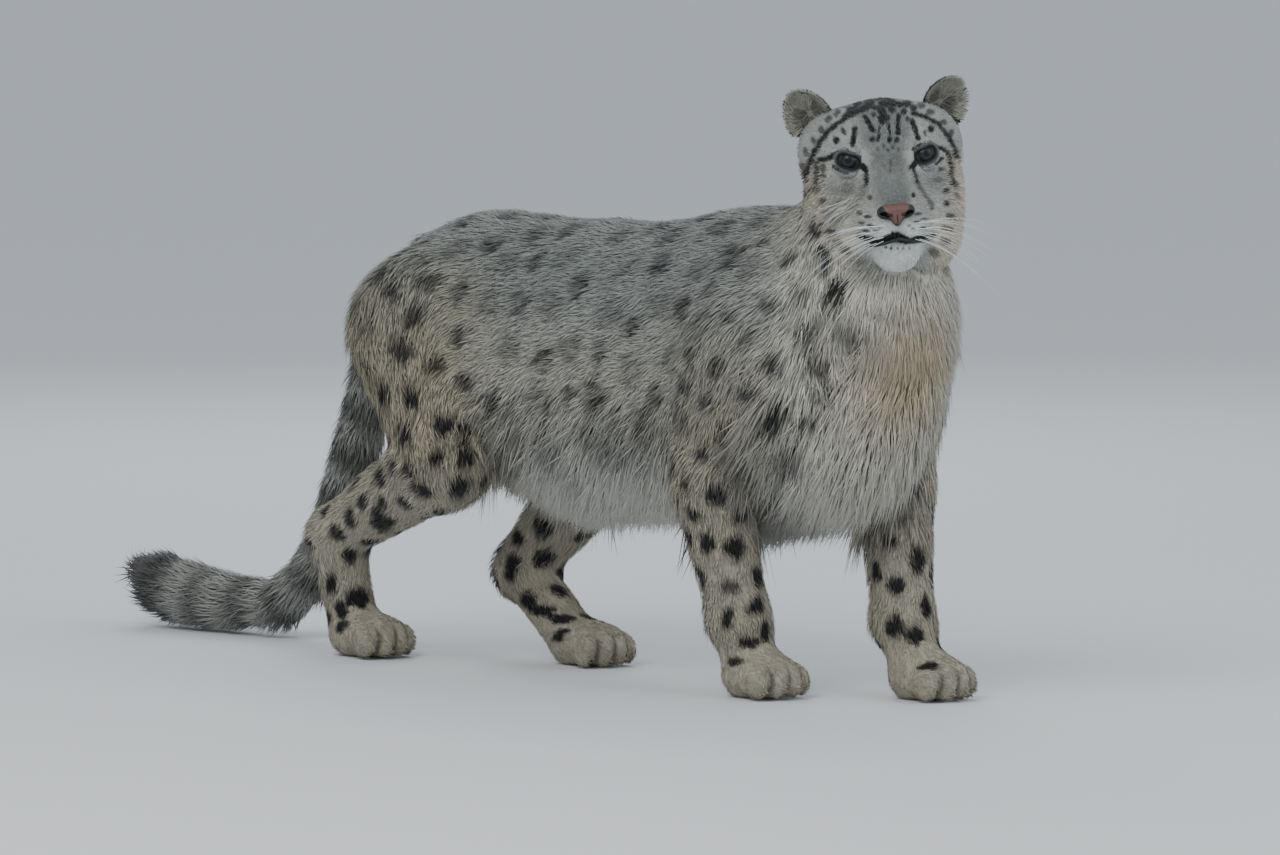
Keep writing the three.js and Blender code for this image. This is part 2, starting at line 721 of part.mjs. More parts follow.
// Colours and finishes, by part
const FUR_GREY = { color: 0x9c9a90, roughness: 0.9, metalness: 0 };
const FUR_PALE = { color: 0xc9c3b4, roughness: 0.9, metalness: 0 };
const FUR_TAIL = { color: 0x77766f, roughness: 0.9, metalness: 0 };
const EYE_GREY = { color: 0x5c6f70, roughness: 0.15, metalness: 0 };
const NOSE_PINK = { color: 0xa8625a, roughness: 0.55, metalness: 0 };
const finishOf = (name) => {
  if (name.startsWith("eye")) return EYE_GREY;
  if (name === "nose") return NOSE_PINK;
  if (name.startsWith("tail")) return FUR_TAIL;
  return name.endsWith("paw") || name === "neck" ? FUR_PALE : FUR_GREY;
};

const leopard = new THREE.Group();
for (const [name, solid] of Object.entries(solids)) {
  const mesh = new THREE.Mesh(geometryOf(solid), new THREE.MeshStandardMaterial(finishOf(name)));
  mesh.name = name;
  leopard.add(mesh);
}
const reach = new THREE.Box3().setFromObject(leopard);
const centre = reach.getCenter(new THREE.Vector3());
leopard.position.set(-centre.x, -centre.y, -reach.min.z);

export default leopard;
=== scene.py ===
import bpy
import numpy as np
from mathutils import Matrix, Vector


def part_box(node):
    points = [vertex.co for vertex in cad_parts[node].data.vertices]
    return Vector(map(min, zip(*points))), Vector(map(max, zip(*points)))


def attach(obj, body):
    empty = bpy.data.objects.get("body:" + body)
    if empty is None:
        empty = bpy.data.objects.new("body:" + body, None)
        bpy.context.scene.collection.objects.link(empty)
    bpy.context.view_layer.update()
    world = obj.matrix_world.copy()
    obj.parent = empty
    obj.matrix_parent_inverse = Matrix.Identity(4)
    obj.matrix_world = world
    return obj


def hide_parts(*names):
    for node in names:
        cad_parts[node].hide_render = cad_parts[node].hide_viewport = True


MM = 0.001

# The animal's driving dimensions, the same as the solids'
SHOULDER_HEIGHT = 618
BACK_HEIGHT = 604
BELLY_HEIGHT = 182
CHEST_HALF_WIDTH = 160
RUMP_HALF_WIDTH = 146
PAW_HEIGHT = 58
TAIL_RADIUS = 45
FACE = (430, -62, 660)
HEAD_YAW, HEAD_PITCH, HEAD_ROLL = -41, 3, 5
EYE_SIDE = 45
EYE_UP = 14
EYE_RADIUS = 16
LEGS = {
    "fore_right": {
        "hip": (235, -92, 420), "knee": (168, -98, 272), "ankle": (192, -74, 96), "paw": (232, -70),
    },
    "fore_left": {
        "hip": (280, 92, 420), "knee": (300, 92, 272), "ankle": (336, 70, 96), "paw": (392, 62),
    },
    "hind_right": {
        "hip": (-365, -88, 430), "knee": (-300, -112, 272), "ankle": (-522, -94, 158), "paw": (-466, -84),
    },
    "hind_left": {
        "hip": (-365, 88, 430), "knee": (-222, 100, 262), "ankle": (-330, 58, 116), "paw": (-186, 44),
    },
}
PAW_HEADING = {"fore_right": -6, "fore_left": -4, "hind_right": -4, "hind_left": -8}
FORE_SIZES = {"hip": 108, "knee": 64, "ankle": 43, "heel": 22}
HIND_SIZES = {"hip": 118, "knee": 76, "ankle": 42, "heel": 36}
TAIL_LINE = (
    (-420, 0, 520), (-492, 0, 455), (-546, 0, 372), (-582, 0, 275), (-620, 0, 175), (-666, -2, 97),
    (-728, -4, 50), (-796, -8, 44), (-866, -12, 45), (-930, -16, 52), (-976, -20, 66),
)

# How deep the coat is over the skin, part by part, from its tips
COAT_DEPTH = {"back": 17, "belly": 40, "chest": 36, "neck": 28, "leg": 9, "thigh": 18, "paw": 5, "tail": 21,
              "face": 4, "crown": 7, "cheek": 15, "throat": 22}

# A camera that lines the solids up with the photo, in the animal's frame, and the photo's size in pixels.
# Its distance and its lens are guesses that go together: the photo gives neither.
CAMERA_AZIMUTH, CAMERA_ELEVATION, CAMERA_DISTANCE = 45, 4.2, 9000
CAMERA_TARGET = (-28, -28, 320)
CAMERA_LENS, SENSOR = 200, 36
PHOTO_WIDTH, PHOTO_HEIGHT = 1280, 855


def unit(v):
    return v / np.maximum(np.linalg.norm(v, axis=-1, keepdims=True), 1e-9)


def ramp(v, low, high):
    """From 0 at low to 1 at high, smoothly; low may be the larger."""
    t = np.clip((v - low) / (high - low), 0, 1)
    return t * t * (3 - 2 * t)


def dot(a, b):
    return (a * b).sum(-1)


# Fields: rough distances to a surface, negative inside it, for arrays of points
def ball(p, centre, radii):
    d = (p - np.array(centre, np.float32)) / np.array(radii, np.float32)
    k0 = np.sqrt(dot(d, d))
    e = d / np.array(radii, np.float32)
    k1 = np.sqrt(dot(e, e))
    return k0 * (k0 - 1) / np.maximum(k1, 1e-9)


def along_rod(p, a, b, spread=1):
    scale = np.array((1, spread, 1), np.float32)
    q = (p - np.array(a, np.float32)) / scale
    d = ((np.array(b) - np.array(a)) / scale).astype(np.float32)
    h = np.clip(q @ d / (d @ d), 0, 1)
    away = q - h[..., None] * d
    return h, np.sqrt(dot(away, away))


def rod(p, a, radius_a, b, radius_b, spread=1):
    h, away = along_rod(p, a, b, spread)
    return away - (radius_a + (radius_b - radius_a) * h)


def blend(k, *fields):
    total = fields[0]
    for field in fields[1:]:
        h = np.maximum(k - np.abs(total - field), 0) / k
        total = np.minimum(total, field) - h * h * k / 4
    return total


def both_sides(p):
    q = p.copy()
    q[..., 1] = np.abs(q[..., 1])
    return q


def turned(axis, angle):
    """A matrix that turns about one axis, 0 to 2 for x to z, by an angle in radians."""
    u, v = (axis + 1) % 3, (axis + 2) % 3
    made = np.eye(3)
    made[u, u] = made[v, v] = np.cos(angle)
    made[u, v], made[v, u] = -np.sin(angle), np.sin(angle)
    return made


# The head, in its own frame: x forward, y to its left, z up, from a point a little below the eyes' middle
ROLL, PITCH, YAW = np.radians((HEAD_ROLL, -HEAD_PITCH, HEAD_YAW))
HEAD_TURN = (turned(2, YAW) @ turned(1, PITCH) @ turned(0, ROLL)).astype(np.float32)


def to_head(p):
    return (p - np.array(FACE, np.float32)) @ HEAD_TURN


def from_head(p):
    return p @ HEAD_TURN.T + np.array(FACE, np.float32)


def seen_from_head(p):
    return to_head(p.astype(np.float32)).astype(float)


def out_of_head(h):
    return from_head(np.asarray(h, np.float32)).astype(float)


def head_field(h):
    m = both_sides(h)
    skull = blend(34, ball(h, (-62, 0, 14), (90, 86, 79)), ball(m, (-70, 60, 24), (54, 46, 52)),
                  ball(m, (-58, 51, -34), (62, 57, 62)), ball(m, (-62, 50, -84), (54, 50, 56)),
                  ball(m, (-26, 36, -84), (52, 40, 42)))
    muzzle = blend(20, rod(h, (-18, 0, 10), 25, (44, 0, -40), 19, 1.32),
                   rod(h, (-20, 0, -50), 44, (28, 0, -70), 32),
                   ball(m, (42, 21, -76), (27, 25, 22)), ball(h, (26, 0, -106), (28, 30, 24)))
    brows = blend(10, ball(m, (-22, 40, 38), (22, 24, 12)), ball(m, (-16, 49, -14), (20, 24, 13)))
    return blend(16, blend(26, skull, muzzle), brows)


def face_depth(side, up):
    """How far forward the coat's surface is, at a point of the face."""
    forward = 110.0
    while forward > -80:
        d = float(head_field(np.array([[forward, side, up]], np.float32))[0])
        if d <= 0.05:
            break
        forward -= max(d * 0.5, 0.05)
    return forward


EYE_FORWARD = face_depth(EYE_SIDE, EYE_UP) - EYE_RADIUS + 1


def eye_centre(side):
    return from_head(np.array((EYE_FORWARD, EYE_SIDE * side, EYE_UP), np.float32))


def middle(top, bottom):
    return (top + bottom) / 2


def half(top, bottom):
    return (top - bottom) / 2


def torso_field(p):
    return blend(
        70,
        ball(p, (160, 0, middle(SHOULDER_HEIGHT, BELLY_HEIGHT)),
             (255, CHEST_HALF_WIDTH, half(SHOULDER_HEIGHT, BELLY_HEIGHT))),
        ball(p, (-90, 0, middle(BACK_HEIGHT, BELLY_HEIGHT + 6) - 4),
             (270, 150, half(BACK_HEIGHT, BELLY_HEIGHT + 6) - 4)),
        ball(p, (-300, 0, 420), (205, RUMP_HALF_WIDTH, 180)),
        ball(p, (305, 0, 405), (138, 142, 172)),
    )


def neck_field(p):
    return blend(50, rod(p, (255, 0, 480), 128, (372, -22, 618), 92), ball(p, (350, 6, 490), (106, 122, 138)))


def leg_field(p, name):
    leg = LEGS[name]
    sizes = FORE_SIZES if name.startswith("fore") else HIND_SIZES
    heel = (leg["paw"][0] - sizes["heel"], leg["paw"][1], PAW_HEIGHT * 0.55)
    return blend(
        26,
        rod(p, leg["hip"], sizes["hip"], leg["knee"], sizes["knee"], 0.82),
        rod(p, leg["knee"], sizes["knee"] * 0.92, leg["ankle"], sizes["ankle"]),
        rod(p, leg["ankle"], sizes["ankle"], heel, sizes["ankle"] * 0.94),
    )


TOES = (-34, -12, 12, 34)


def to_paw(p, name):
    """Points in a paw's own frame: forward, to its left and up."""
    a = np.radians(PAW_HEADING[name])
    x, y = p[..., 0] - LEGS[name]["paw"][0], p[..., 1] - LEGS[name]["paw"][1]
    forward, across = x * np.cos(a) + y * np.sin(a), -x * np.sin(a) + y * np.cos(a)
    return np.stack([forward, across, p[..., 2]], -1).astype(np.float32)


def paw_field(p, name):
    q = to_paw(p, name)
    toes = [ball(q, (40 - abs(side) * 0.5, side, 22), (24, 15, 24)) for side in TOES]
    foot = blend(22, ball(q, (-18, 0, 26), (40, 42, 34)), ball(q, (14, 0, 30), (38, 42, 30)))
    return blend(9, foot, *toes)


TAIL_POINTS = np.array(TAIL_LINE, np.float32)
TAIL_STEPS = np.linalg.norm(np.diff(TAIL_POINTS, axis=0), axis=1)
TAIL_AT = np.concatenate([[0], np.cumsum(TAIL_STEPS)]) / TAIL_STEPS.sum()


def tail_nearest(p):
    """Distance from the tail's middle line, how far along it, and the way it runs there."""
    best = np.full(p.shape[:-1], 1e9, np.float32)
    share = np.zeros_like(best)
    way = np.zeros_like(p)
    for k in range(len(TAIL_POINTS) - 1):
        h, away = along_rod(p, TAIL_POINTS[k], TAIL_POINTS[k + 1])
        nearer = away < best
        best = np.where(nearer, away, best)
        share = np.where(nearer, TAIL_AT[k] + (TAIL_AT[k + 1] - TAIL_AT[k]) * h, share)
        way[nearer] = unit(TAIL_POINTS[k + 1] - TAIL_POINTS[k])
    return best, share, way


def tail_field(p):
    away, share, _ = tail_nearest(p)
    return away - TAIL_RADIUS * (0.98 + 0.2 * ramp(share, 0.72, 0.9) - 0.35 * ramp(share, 0.965, 1.0))


REACH = {
    "torso": (-620, 560), "neck": (60, 560), "head": (220, 560), "tail": (-1080, -330),
    "fore_right": (30, 400), "fore_left": (120, 520), "hind_right": (-660, -130), "hind_left": (-520, -30),
}


def turned_head_field(p):
    return head_field(to_head(p))


WHOLE_FIELDS = {"torso": torso_field, "neck": neck_field, "head": turned_head_field, "tail": tail_field}


def parts_at(p, names=None):
    """The distance from each part of the body, over its coat."""
    found = {}
    for name in names or REACH:
        if name in WHOLE_FIELDS:
            found[name] = WHOLE_FIELDS[name](p)
        else:
            found[name] = leg_field(p, name)
            found[name + "_paw"] = paw_field(p, name)
    return found


def depth_of(p, parts):
    """How deep the coat is at each point, mixed from the parts that are near."""
    z = p[..., 2]
    down = ramp(z, 400, 235)
    trunk = COAT_DEPTH["back"] + (COAT_DEPTH["belly"] - COAT_DEPTH["back"]) * down
    trunk = trunk + (COAT_DEPTH["chest"] - trunk) * ramp(p[..., 0], 300, 400) * ramp(z, 620, 540)
    leg = COAT_DEPTH["leg"] + (COAT_DEPTH["thigh"] - COAT_DEPTH["leg"]) * ramp(z, 180, 320)
    h = to_head(p)
    low = ramp(h[..., 2], -95, -135)
    side = ramp(np.abs(h[..., 1]), 52, 88) * ramp(h[..., 2], 40, -20)
    back = ramp(h[..., 0], -20, -95)
    head = COAT_DEPTH["face"] + (COAT_DEPTH["crown"] - COAT_DEPTH["face"]) * back
    head = head + (COAT_DEPTH["cheek"] - head) * np.maximum(side, back * ramp(h[..., 2], 30, -40))
    head = head + (COAT_DEPTH["throat"] - head) * low * ramp(h[..., 0], 30, -10)
    values = {"torso": trunk, "neck": np.full_like(z, COAT_DEPTH["neck"]), "head": head,
              "tail": np.full_like(z, COAT_DEPTH["tail"])}
    total, weight = np.zeros_like(z), np.full_like(z, 1e-9)
    for name, d in parts.items():
        depth = COAT_DEPTH["paw"] if name.endswith("_paw") else values.get(name, leg)
        w = np.exp(-np.clip(d, -60, 200) / 11)
        total += w * depth
        weight += w
    return total / weight


FAR = np.float32(400)
# The lowest that the skin and the tufts reach, over the floor
SKIN_BOTTOM = 2.0
TUFT_BOTTOM = 1.2


def coat_field(p, parts):
    """The whole body out to the tips of its coat."""
    far = np.full(p.shape[:-1], FAR, np.float32)
    d = blend(60, parts.get("torso", far), parts.get("neck", far))
    for name in LEGS:
        if name in parts:
            d = blend(40, d, blend(22, parts[name], parts[name + "_paw"]))
    d = blend(40, d, parts.get("tail", far))
    return blend(30, d, parts.get("head", far))


def skin_field(p, names=None):
    parts = parts_at(p, names)
    d = coat_field(p, parts) + depth_of(p, parts)
    d = np.maximum(d, SKIN_BOTTOM - p[..., 2])
    for side in (-1, 1):
        socket = ball(p, eye_centre(side), (EYE_RADIUS + 2,) * 3)
        d = np.maximum(d, -socket)
    return d


# A mesh from a field on a grid of lines: one point in each cell that the surface crosses
def surface_nets(value, lines):
    """Points and squares of the surface where the value is 0."""
    shape = np.array(value.shape)
    cells = shape - 1
    cell_count = int(cells.prod())
    sums = np.zeros((cell_count, 3))
    counts = np.zeros(cell_count)
    quads = []
    for axis in range(3):
        first = [slice(None)] * 3
        second = [slice(None)] * 3
        first[axis], second[axis] = slice(0, -1), slice(1, None)
        a, b = value[tuple(first)], value[tuple(second)]
        at = np.argwhere((a < 0) != (b < 0))
        va, vb = a[tuple(at.T)], b[tuple(at.T)]
        t = va / (va - vb)
        points = np.stack([lines[k][at[:, k]] for k in range(3)], 1)
        points[:, axis] += t * (lines[axis][at[:, axis] + 1] - lines[axis][at[:, axis]])
        u, v = (axis + 1) % 3, (axis + 2) % 3
        corners = []
        for du, dv in ((0, 0), (-1, 0), (-1, -1), (0, -1)):
            cell = at.copy()
            cell[:, u] += du
            cell[:, v] += dv
            inside = ((cell >= 0) & (cell < cells)).all(1)
            index = np.where(inside, np.ravel_multi_index(np.clip(cell, 0, cells - 1).T, cells), -1)
            for k in range(3):
                sums[:, k] += np.bincount(index[inside], points[inside, k], cell_count)
            counts += np.bincount(index[inside], minlength=cell_count)
            corners.append(index)
        quad = np.stack(corners, 1)
        quad[va >= 0] = quad[va >= 0][:, ::-1]
        quads.append(quad[(quad >= 0).all(1)])
    used = np.nonzero(counts)[0]
    number = np.full(cell_count, -1)
    number[used] = np.arange(len(used))
    return (sums[used] / counts[used, None]), number[np.concatenate(quads)]


def line_steps(*marks):
    """Grid lines from low to high: line_steps(0, 10, 60, 5, 90) goes by 10 up to 60 and then by 5."""
    lines = [np.array([marks[0]], float)]
    for k in range(1, len(marks), 2):
        count = max(1, round((marks[k + 1] - marks[k - 1]) / marks[k]))
        lines.append(np.linspace(marks[k - 1], marks[k + 1], count + 1)[1:])
    return np.concatenate(lines)


def grid_value(lines, margin=90):
    """The skin's field on the grid, a few planes at a time, with only the parts that are near."""
    value = np.full([len(x) for x in lines], FAR, np.float32)
    stride = 12
    for start in range(0, len(lines[0]), stride):
        xs = lines[0][start:start + stride]
        names = [n for n, (low, high) in REACH.items() if xs[-1] > low - margin and xs[0] < high + margin]
        if not names:
            continue
        p = np.stack(np.meshgrid(xs, lines[1], lines[2], indexing="ij"), -1).astype(np.float32)
        flat = p.reshape(-1, 3)
        rough = coat_field(flat, parts_at(flat, names))
        near = np.abs(rough) < margin
        block = rough.copy()
        if near.any():
            block[near] = skin_field(flat[near], names)
        value[start:start + stride] = block.reshape(p.shape[:3])
    return value


# The frame, and where the animal's own frame lies in it, from the eyes' balls
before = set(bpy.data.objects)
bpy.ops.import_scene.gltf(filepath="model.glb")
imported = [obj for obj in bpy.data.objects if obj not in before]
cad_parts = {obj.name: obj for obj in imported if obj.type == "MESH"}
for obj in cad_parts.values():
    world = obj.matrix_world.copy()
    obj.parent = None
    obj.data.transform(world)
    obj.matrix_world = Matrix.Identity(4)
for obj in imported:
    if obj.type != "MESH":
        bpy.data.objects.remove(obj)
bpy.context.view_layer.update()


def find_shift():
    found = []
    for name, side in (("eye_right", -1), ("eye_left", 1)):
        low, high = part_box(name)
        centre = eye_centre(side) * MM
        corner = (high.x - EYE_RADIUS * MM, low.y + EYE_RADIUS * MM, middle(high.z, low.z))
        found.append(np.array(corner) - centre)
    shift = np.mean(found, 0)
    return np.array((shift[0], shift[1], 0))


SHIFT = find_shift()


def placed(points):
    return points * MM + SHIFT


# The camera, and rays from pixels of the photo
def camera_frame():
    a, e = np.radians((CAMERA_AZIMUTH, CAMERA_ELEVATION))
    back = np.array((np.sin(a) * np.cos(e), -np.cos(a) * np.cos(e), np.sin(e)))
    right = np.array((np.cos(a), np.sin(a), 0))
    up = np.cross(back, right)
    return np.array(CAMERA_TARGET) + back * CAMERA_DISTANCE, right, up, back


CAMERA_AT, VIEW_RIGHT, VIEW_UP, VIEW_BACK = camera_frame()
FOCAL_PIXELS = CAMERA_LENS / SENSOR * PHOTO_WIDTH
BODY_REACH = 900
RAY_STEPS = 90


def add_camera():
    data = bpy.data.cameras.new("camera")
    data.lens, data.sensor_width = CAMERA_LENS, SENSOR
    data.clip_start, data.clip_end = 0.1, 1000
    camera = bpy.data.objects.new("camera", data)
    bpy.context.scene.collection.objects.link(camera)
    camera.location = Vector(placed(CAMERA_AT))
    camera.rotation_mode = "QUATERNION"
    axes = Matrix((VIEW_RIGHT, VIEW_UP, VIEW_BACK)).transposed()
    camera.rotation_quaternion = axes.to_quaternion()
    bpy.context.scene.camera = camera


add_camera()


def under_pixels(pixels):
    """The points of the coat's surface that these pixels of the photo show, or rows of nan."""
    pixels = np.array(pixels, float)
    ray = (VIEW_RIGHT * ((pixels[:, :1] - PHOTO_WIDTH / 2) / FOCAL_PIXELS)
           - VIEW_UP * ((pixels[:, 1:] - PHOTO_HEIGHT / 2) / FOCAL_PIXELS) - VIEW_BACK)
    ray = unit(ray)
    far = np.full(len(pixels), float(CAMERA_DISTANCE - BODY_REACH))
    for _ in range(RAY_STEPS):
        p = (CAMERA_AT + ray * far[:, None]).astype(np.float32)
        far += np.clip(coat_field(p, parts_at(p)), -20, 60) * 0.7
    p = CAMERA_AT + ray * far[:, None]
    p[far > CAMERA_DISTANCE + BODY_REACH] = np.nan
    return p


def to_photo(p):
    """Where points show in the photo, in its pixels."""
    q = p - CAMERA_AT
    depth = -(q @ VIEW_BACK)
    return np.stack([PHOTO_WIDTH / 2 + FOCAL_PIXELS * (q @ VIEW_RIGHT) / depth,
                     PHOTO_HEIGHT / 2 - FOCAL_PIXELS * (q @ VIEW_UP) / depth], -1)


# Colours of the coat, as seen, from 0 to 255, turned into light values
def tone(*rgb):
    c = np.array(rgb, float) / 255
    return np.where(c < 0.04045, c / 12.92, ((c + 0.055) / 1.055) ** 2.4)


BACK_GREY = tone(150, 154, 149)
FLANK_GREY = tone(182, 180, 168)
BELLY_CREAM = tone(224, 222, 211)
HAUNCH_BEIGE = tone(172, 163, 141)
SHOULDER_GREY = tone(166, 165, 154)
CHEST_PALE = tone(214, 211, 199)
CHEST_TAN = tone(205, 187, 154)
LEG_BEIGE = tone(176, 169, 151)
PAW_BEIGE = tone(178, 171, 153)
TAIL_GREY = tone(160, 161, 153)
# the black of the coat's marks, also used as painted shade in the clefts of the toes and the cups of the ears
MARK_AND_SHADE_DARK = tone(17, 16, 16)
FACE_GREY = tone(94, 100, 101)
FACE_PALE = tone(186, 190, 184)
CHEEK_CREAM = tone(214, 203, 178)
CHIN_WHITE = tone(232, 235, 233)
EAR_PALE = tone(178, 176, 164)
LIP_BLACK = tone(24, 24, 25)
NOSE_PINK = tone(108, 76, 71)

# Spots in the photo's pixels: place, half width, half height, turn in degrees, and how dark they are
LEG_SPOTS = (
    (709, 498, 7, 9, 0, 0.9), (744, 501, 8, 6, 0, 0.9), (762, 495, 7, 6, 20, 0.9), (779, 463, 8, 8, 0, 0.9),
    (732, 472, 5, 12, 20, 0.8), (772, 525, 8, 7, 0, 0.85), (704, 545, 7, 10, 0, 0.85),
    (738, 549, 8, 9, 0, 0.85), (731, 588, 7, 5, 0, 0.5), (778, 559, 6, 9, 0, 0.8),
    (724, 621, 6, 7, 0, 0.85), (758, 606, 9, 6, 15, 0.85), (751, 642, 8, 5, 0, 0.75),
    (771, 631, 5, 8, 0, 0.8), (710, 654, 6, 5, 0, 0.7), (730, 662, 8, 4, 0, 0.6), (871, 572, 6, 9, 0, 0.8),
    (894, 585, 8, 9, 0, 0.85), (922, 560, 8, 10, 0, 0.8), (892, 627, 7, 9, 0, 0.8),
    (917, 634, 8, 7, 0, 0.85), (931, 607, 5, 10, 0, 0.8), (904, 518, 10, 12, 0, 0.45),
    (928, 662, 7, 5, 0, 0.7),
)
SHOULDER_SPOTS = (
    (770, 414, 8, 7, 0, 0.85), (759, 430, 8, 7, 0, 0.85), (780, 466, 9, 7, 0, 0.85),
    (711, 499, 8, 10, 0, 0.7), (742, 397, 8, 6, 0, 0.6), (803, 330, 8, 10, 0, 0.6),
    (808, 368, 9, 9, 0, 0.55), (820, 397, 9, 8, 0, 0.6), (823, 297, 7, 9, 0, 0.6),
    (847, 335, 6, 9, 0, 0.45), (768, 366, 8, 7, 0, 0.6), (734, 476, 7, 8, 0, 0.7), (790, 290, 8, 8, 0, 0.5),
    (762, 300, 8, 7, 0, 0.45), (742, 335, 7, 8, 0, 0.45), (800, 430, 8, 7, 0, 0.6),
    (716, 440, 8, 9, 0, 0.5), (700, 405, 8, 8, 0, 0.5), (810, 258, 8, 10, 30, 0.75),
    (851, 262, 8, 5, 0, 0.5), (832, 290, 8, 9, 0, 0.65),
)
HAUNCH_SPOTS = (
    (380, 528, 10, 17, 0, 0.95), (425, 541, 13, 10, 10, 0.95), (418, 496, 10, 8, 0, 0.85),
    (459, 492, 8, 10, 0, 0.8), (466, 459, 8, 9, 0, 0.8), (371, 476, 8, 10, 0, 0.8),
    (396, 435, 9, 10, 0, 0.75), (437, 426, 9, 9, 0, 0.75), (482, 409, 9, 10, 0, 0.65),
    (404, 398, 9, 8, 0, 0.7), (375, 398, 8, 10, 0, 0.7), (391, 571, 10, 8, 0, 0.9),
    (364, 596, 8, 9, 0, 0.9), (339, 609, 6, 8, 0, 0.85), (337, 626, 7, 5, 0, 0.8), (323, 619, 5, 7, 0, 0.8),
    (327, 585, 6, 9, 0, 0.85), (395, 350, 9, 9, 0, 0.55), (430, 365, 9, 8, 0, 0.55),
    (412, 315, 9, 9, 0, 0.5), (450, 335, 9, 8, 0, 0.5), (385, 290, 8, 10, 0, 0.5),
    (425, 275, 10, 8, 0, 0.45), (350, 560, 6, 9, 0, 0.8), (400, 475, 8, 8, 0, 0.6),
    (345, 520, 6, 10, 0, 0.8), (455, 385, 8, 8, 0, 0.55),
)
FAR_LEG_SPOTS = (
    (545, 560, 9, 8, 0, 0.9), (579, 580, 8, 7, 0, 0.9), (539, 609, 11, 5, -8, 0.9),
    (562, 615, 11, 5, -10, 0.9), (555, 632, 9, 6, 0, 0.85), (509, 567, 7, 10, 0, 0.9),
    (602, 544, 8, 8, 0, 0.9), (568, 523, 9, 7, 0, 0.7), (430, 540, 10, 9, 0, 0.9),
    (520, 600, 8, 7, 0, 0.85), (500, 610, 6, 8, 0, 0.8), (585, 555, 6, 6, 0, 0.8),
)
FLANK_RINGS = (
    (584, 398, 13, 16, 0, 0.75), (632, 430, 12, 16, 0, 0.65), (534, 450, 12, 13, 0, 0.6),
    (600, 453, 12, 11, 0, 0.6), (668, 420, 12, 14, 0, 0.5), (530, 400, 13, 13, 0, 0.5),
    (560, 350, 14, 12, 0, 0.4), (620, 370, 13, 12, 0, 0.4), (500, 350, 13, 13, 0, 0.4),
    (660, 360, 13, 13, 0, 0.35), (690, 320, 13, 12, 0, 0.35), (540, 300, 14, 11, 0, 0.35),
    (600, 310, 14, 11, 0, 0.35), (480, 300, 13, 11, 0, 0.35), (650, 300, 13, 11, 0, 0.3),
    (500, 255, 15, 9, 0, 0.35), (560, 250, 15, 9, 0, 0.3), (620, 260, 15, 9, 0, 0.3),
    (690, 265, 14, 10, 0, 0.3), (740, 260, 13, 11, 0, 0.35), (450, 240, 13, 9, 0, 0.4),
    (500, 470, 11, 11, 0, 0.55), (560, 480, 11, 9, 0, 0.45), (500, 420, 10, 11, 0, 0.5),
)

# Marks of the face in the photo's pixels: lines of points with a half width, and how dark they are
FACE_LINES = (
    (((858, 163.5), (866, 170)), 2.6, 1), (((917, 160.5), (911.5, 167)), 2.6, 1),
    (((832, 154.5), (840, 152), (847, 151.5), (860, 157.5)), 1.3, 0.8),
    (((913.5, 149), (918, 146), (925, 145), (940, 148.5)), 1.3, 0.8),
    (((866, 166), (866.5, 172), (866, 184)), 1.6, 0.85), (((866, 184), (861, 196), (853, 206)), 2.2, 0.45),
    (((912, 164), (914, 172), (917, 182)), 1.6, 0.85), (((917, 182), (924, 194), (932, 204)), 2.2, 0.45),
    (((838, 157), (829, 158), (820, 160)), 2.4, 0.9), (((834, 167), (840, 170), (847, 172)), 1.3, 0.8),
    (((817, 163), (816.5, 175), (818, 191)), 1.7, 0.8),
    (((856, 112), (846, 118), (836, 125), (828, 132), (821, 141), (813, 155), (808, 167), (805, 180)),
     2.3, 0.85),
    (((868, 107), (856, 112), (846, 117)), 3, 0.8),
    (((912, 113), (925, 117), (938, 124), (946, 133), (953, 146), (956, 158)), 2, 0.8),
    (((855, 129), (854, 136), (852.5, 145)), 2.3, 0.85),
    (((865, 117), (869, 123), (873.5, 131)), 2.2, 0.85),
    (((879.5, 128), (879, 134), (878.5, 141)), 1.2, 0.8), (((882.5, 108), (882.5, 121)), 3.2, 0.9),
    (((888, 124), (890, 133)), 1.4, 0.8), (((898, 115), (897.5, 124), (897.5, 133)), 1.8, 0.85),
    (((912, 121), (915.5, 129), (918.5, 139)), 2.3, 0.8),
    (((936, 147), (944, 149.5), (949, 156), (950.5, 168), (950, 178), (954, 188)), 1.9, 0.8),
    (((936, 163), (942, 158)), 1.4, 0.75), (((890, 162), (890, 172)), 0.9, 0.4),
    (((858, 235), (866, 238), (876, 241)), 2.2, 0.85), (((914, 240), (924, 236), (932, 236)), 2.2, 0.85),
    (((872, 241), (880, 241.5), (888, 237.5), (893, 234.5)), 2.6, 0.95),
    (((897, 234.5), (902, 237), (909, 241), (917, 240)), 2.6, 0.95),
    (((885, 241), (895, 239), (907, 241.5)), 2.6, 0.95), (((942, 228), (950, 229)), 1.8, 0.7),
)
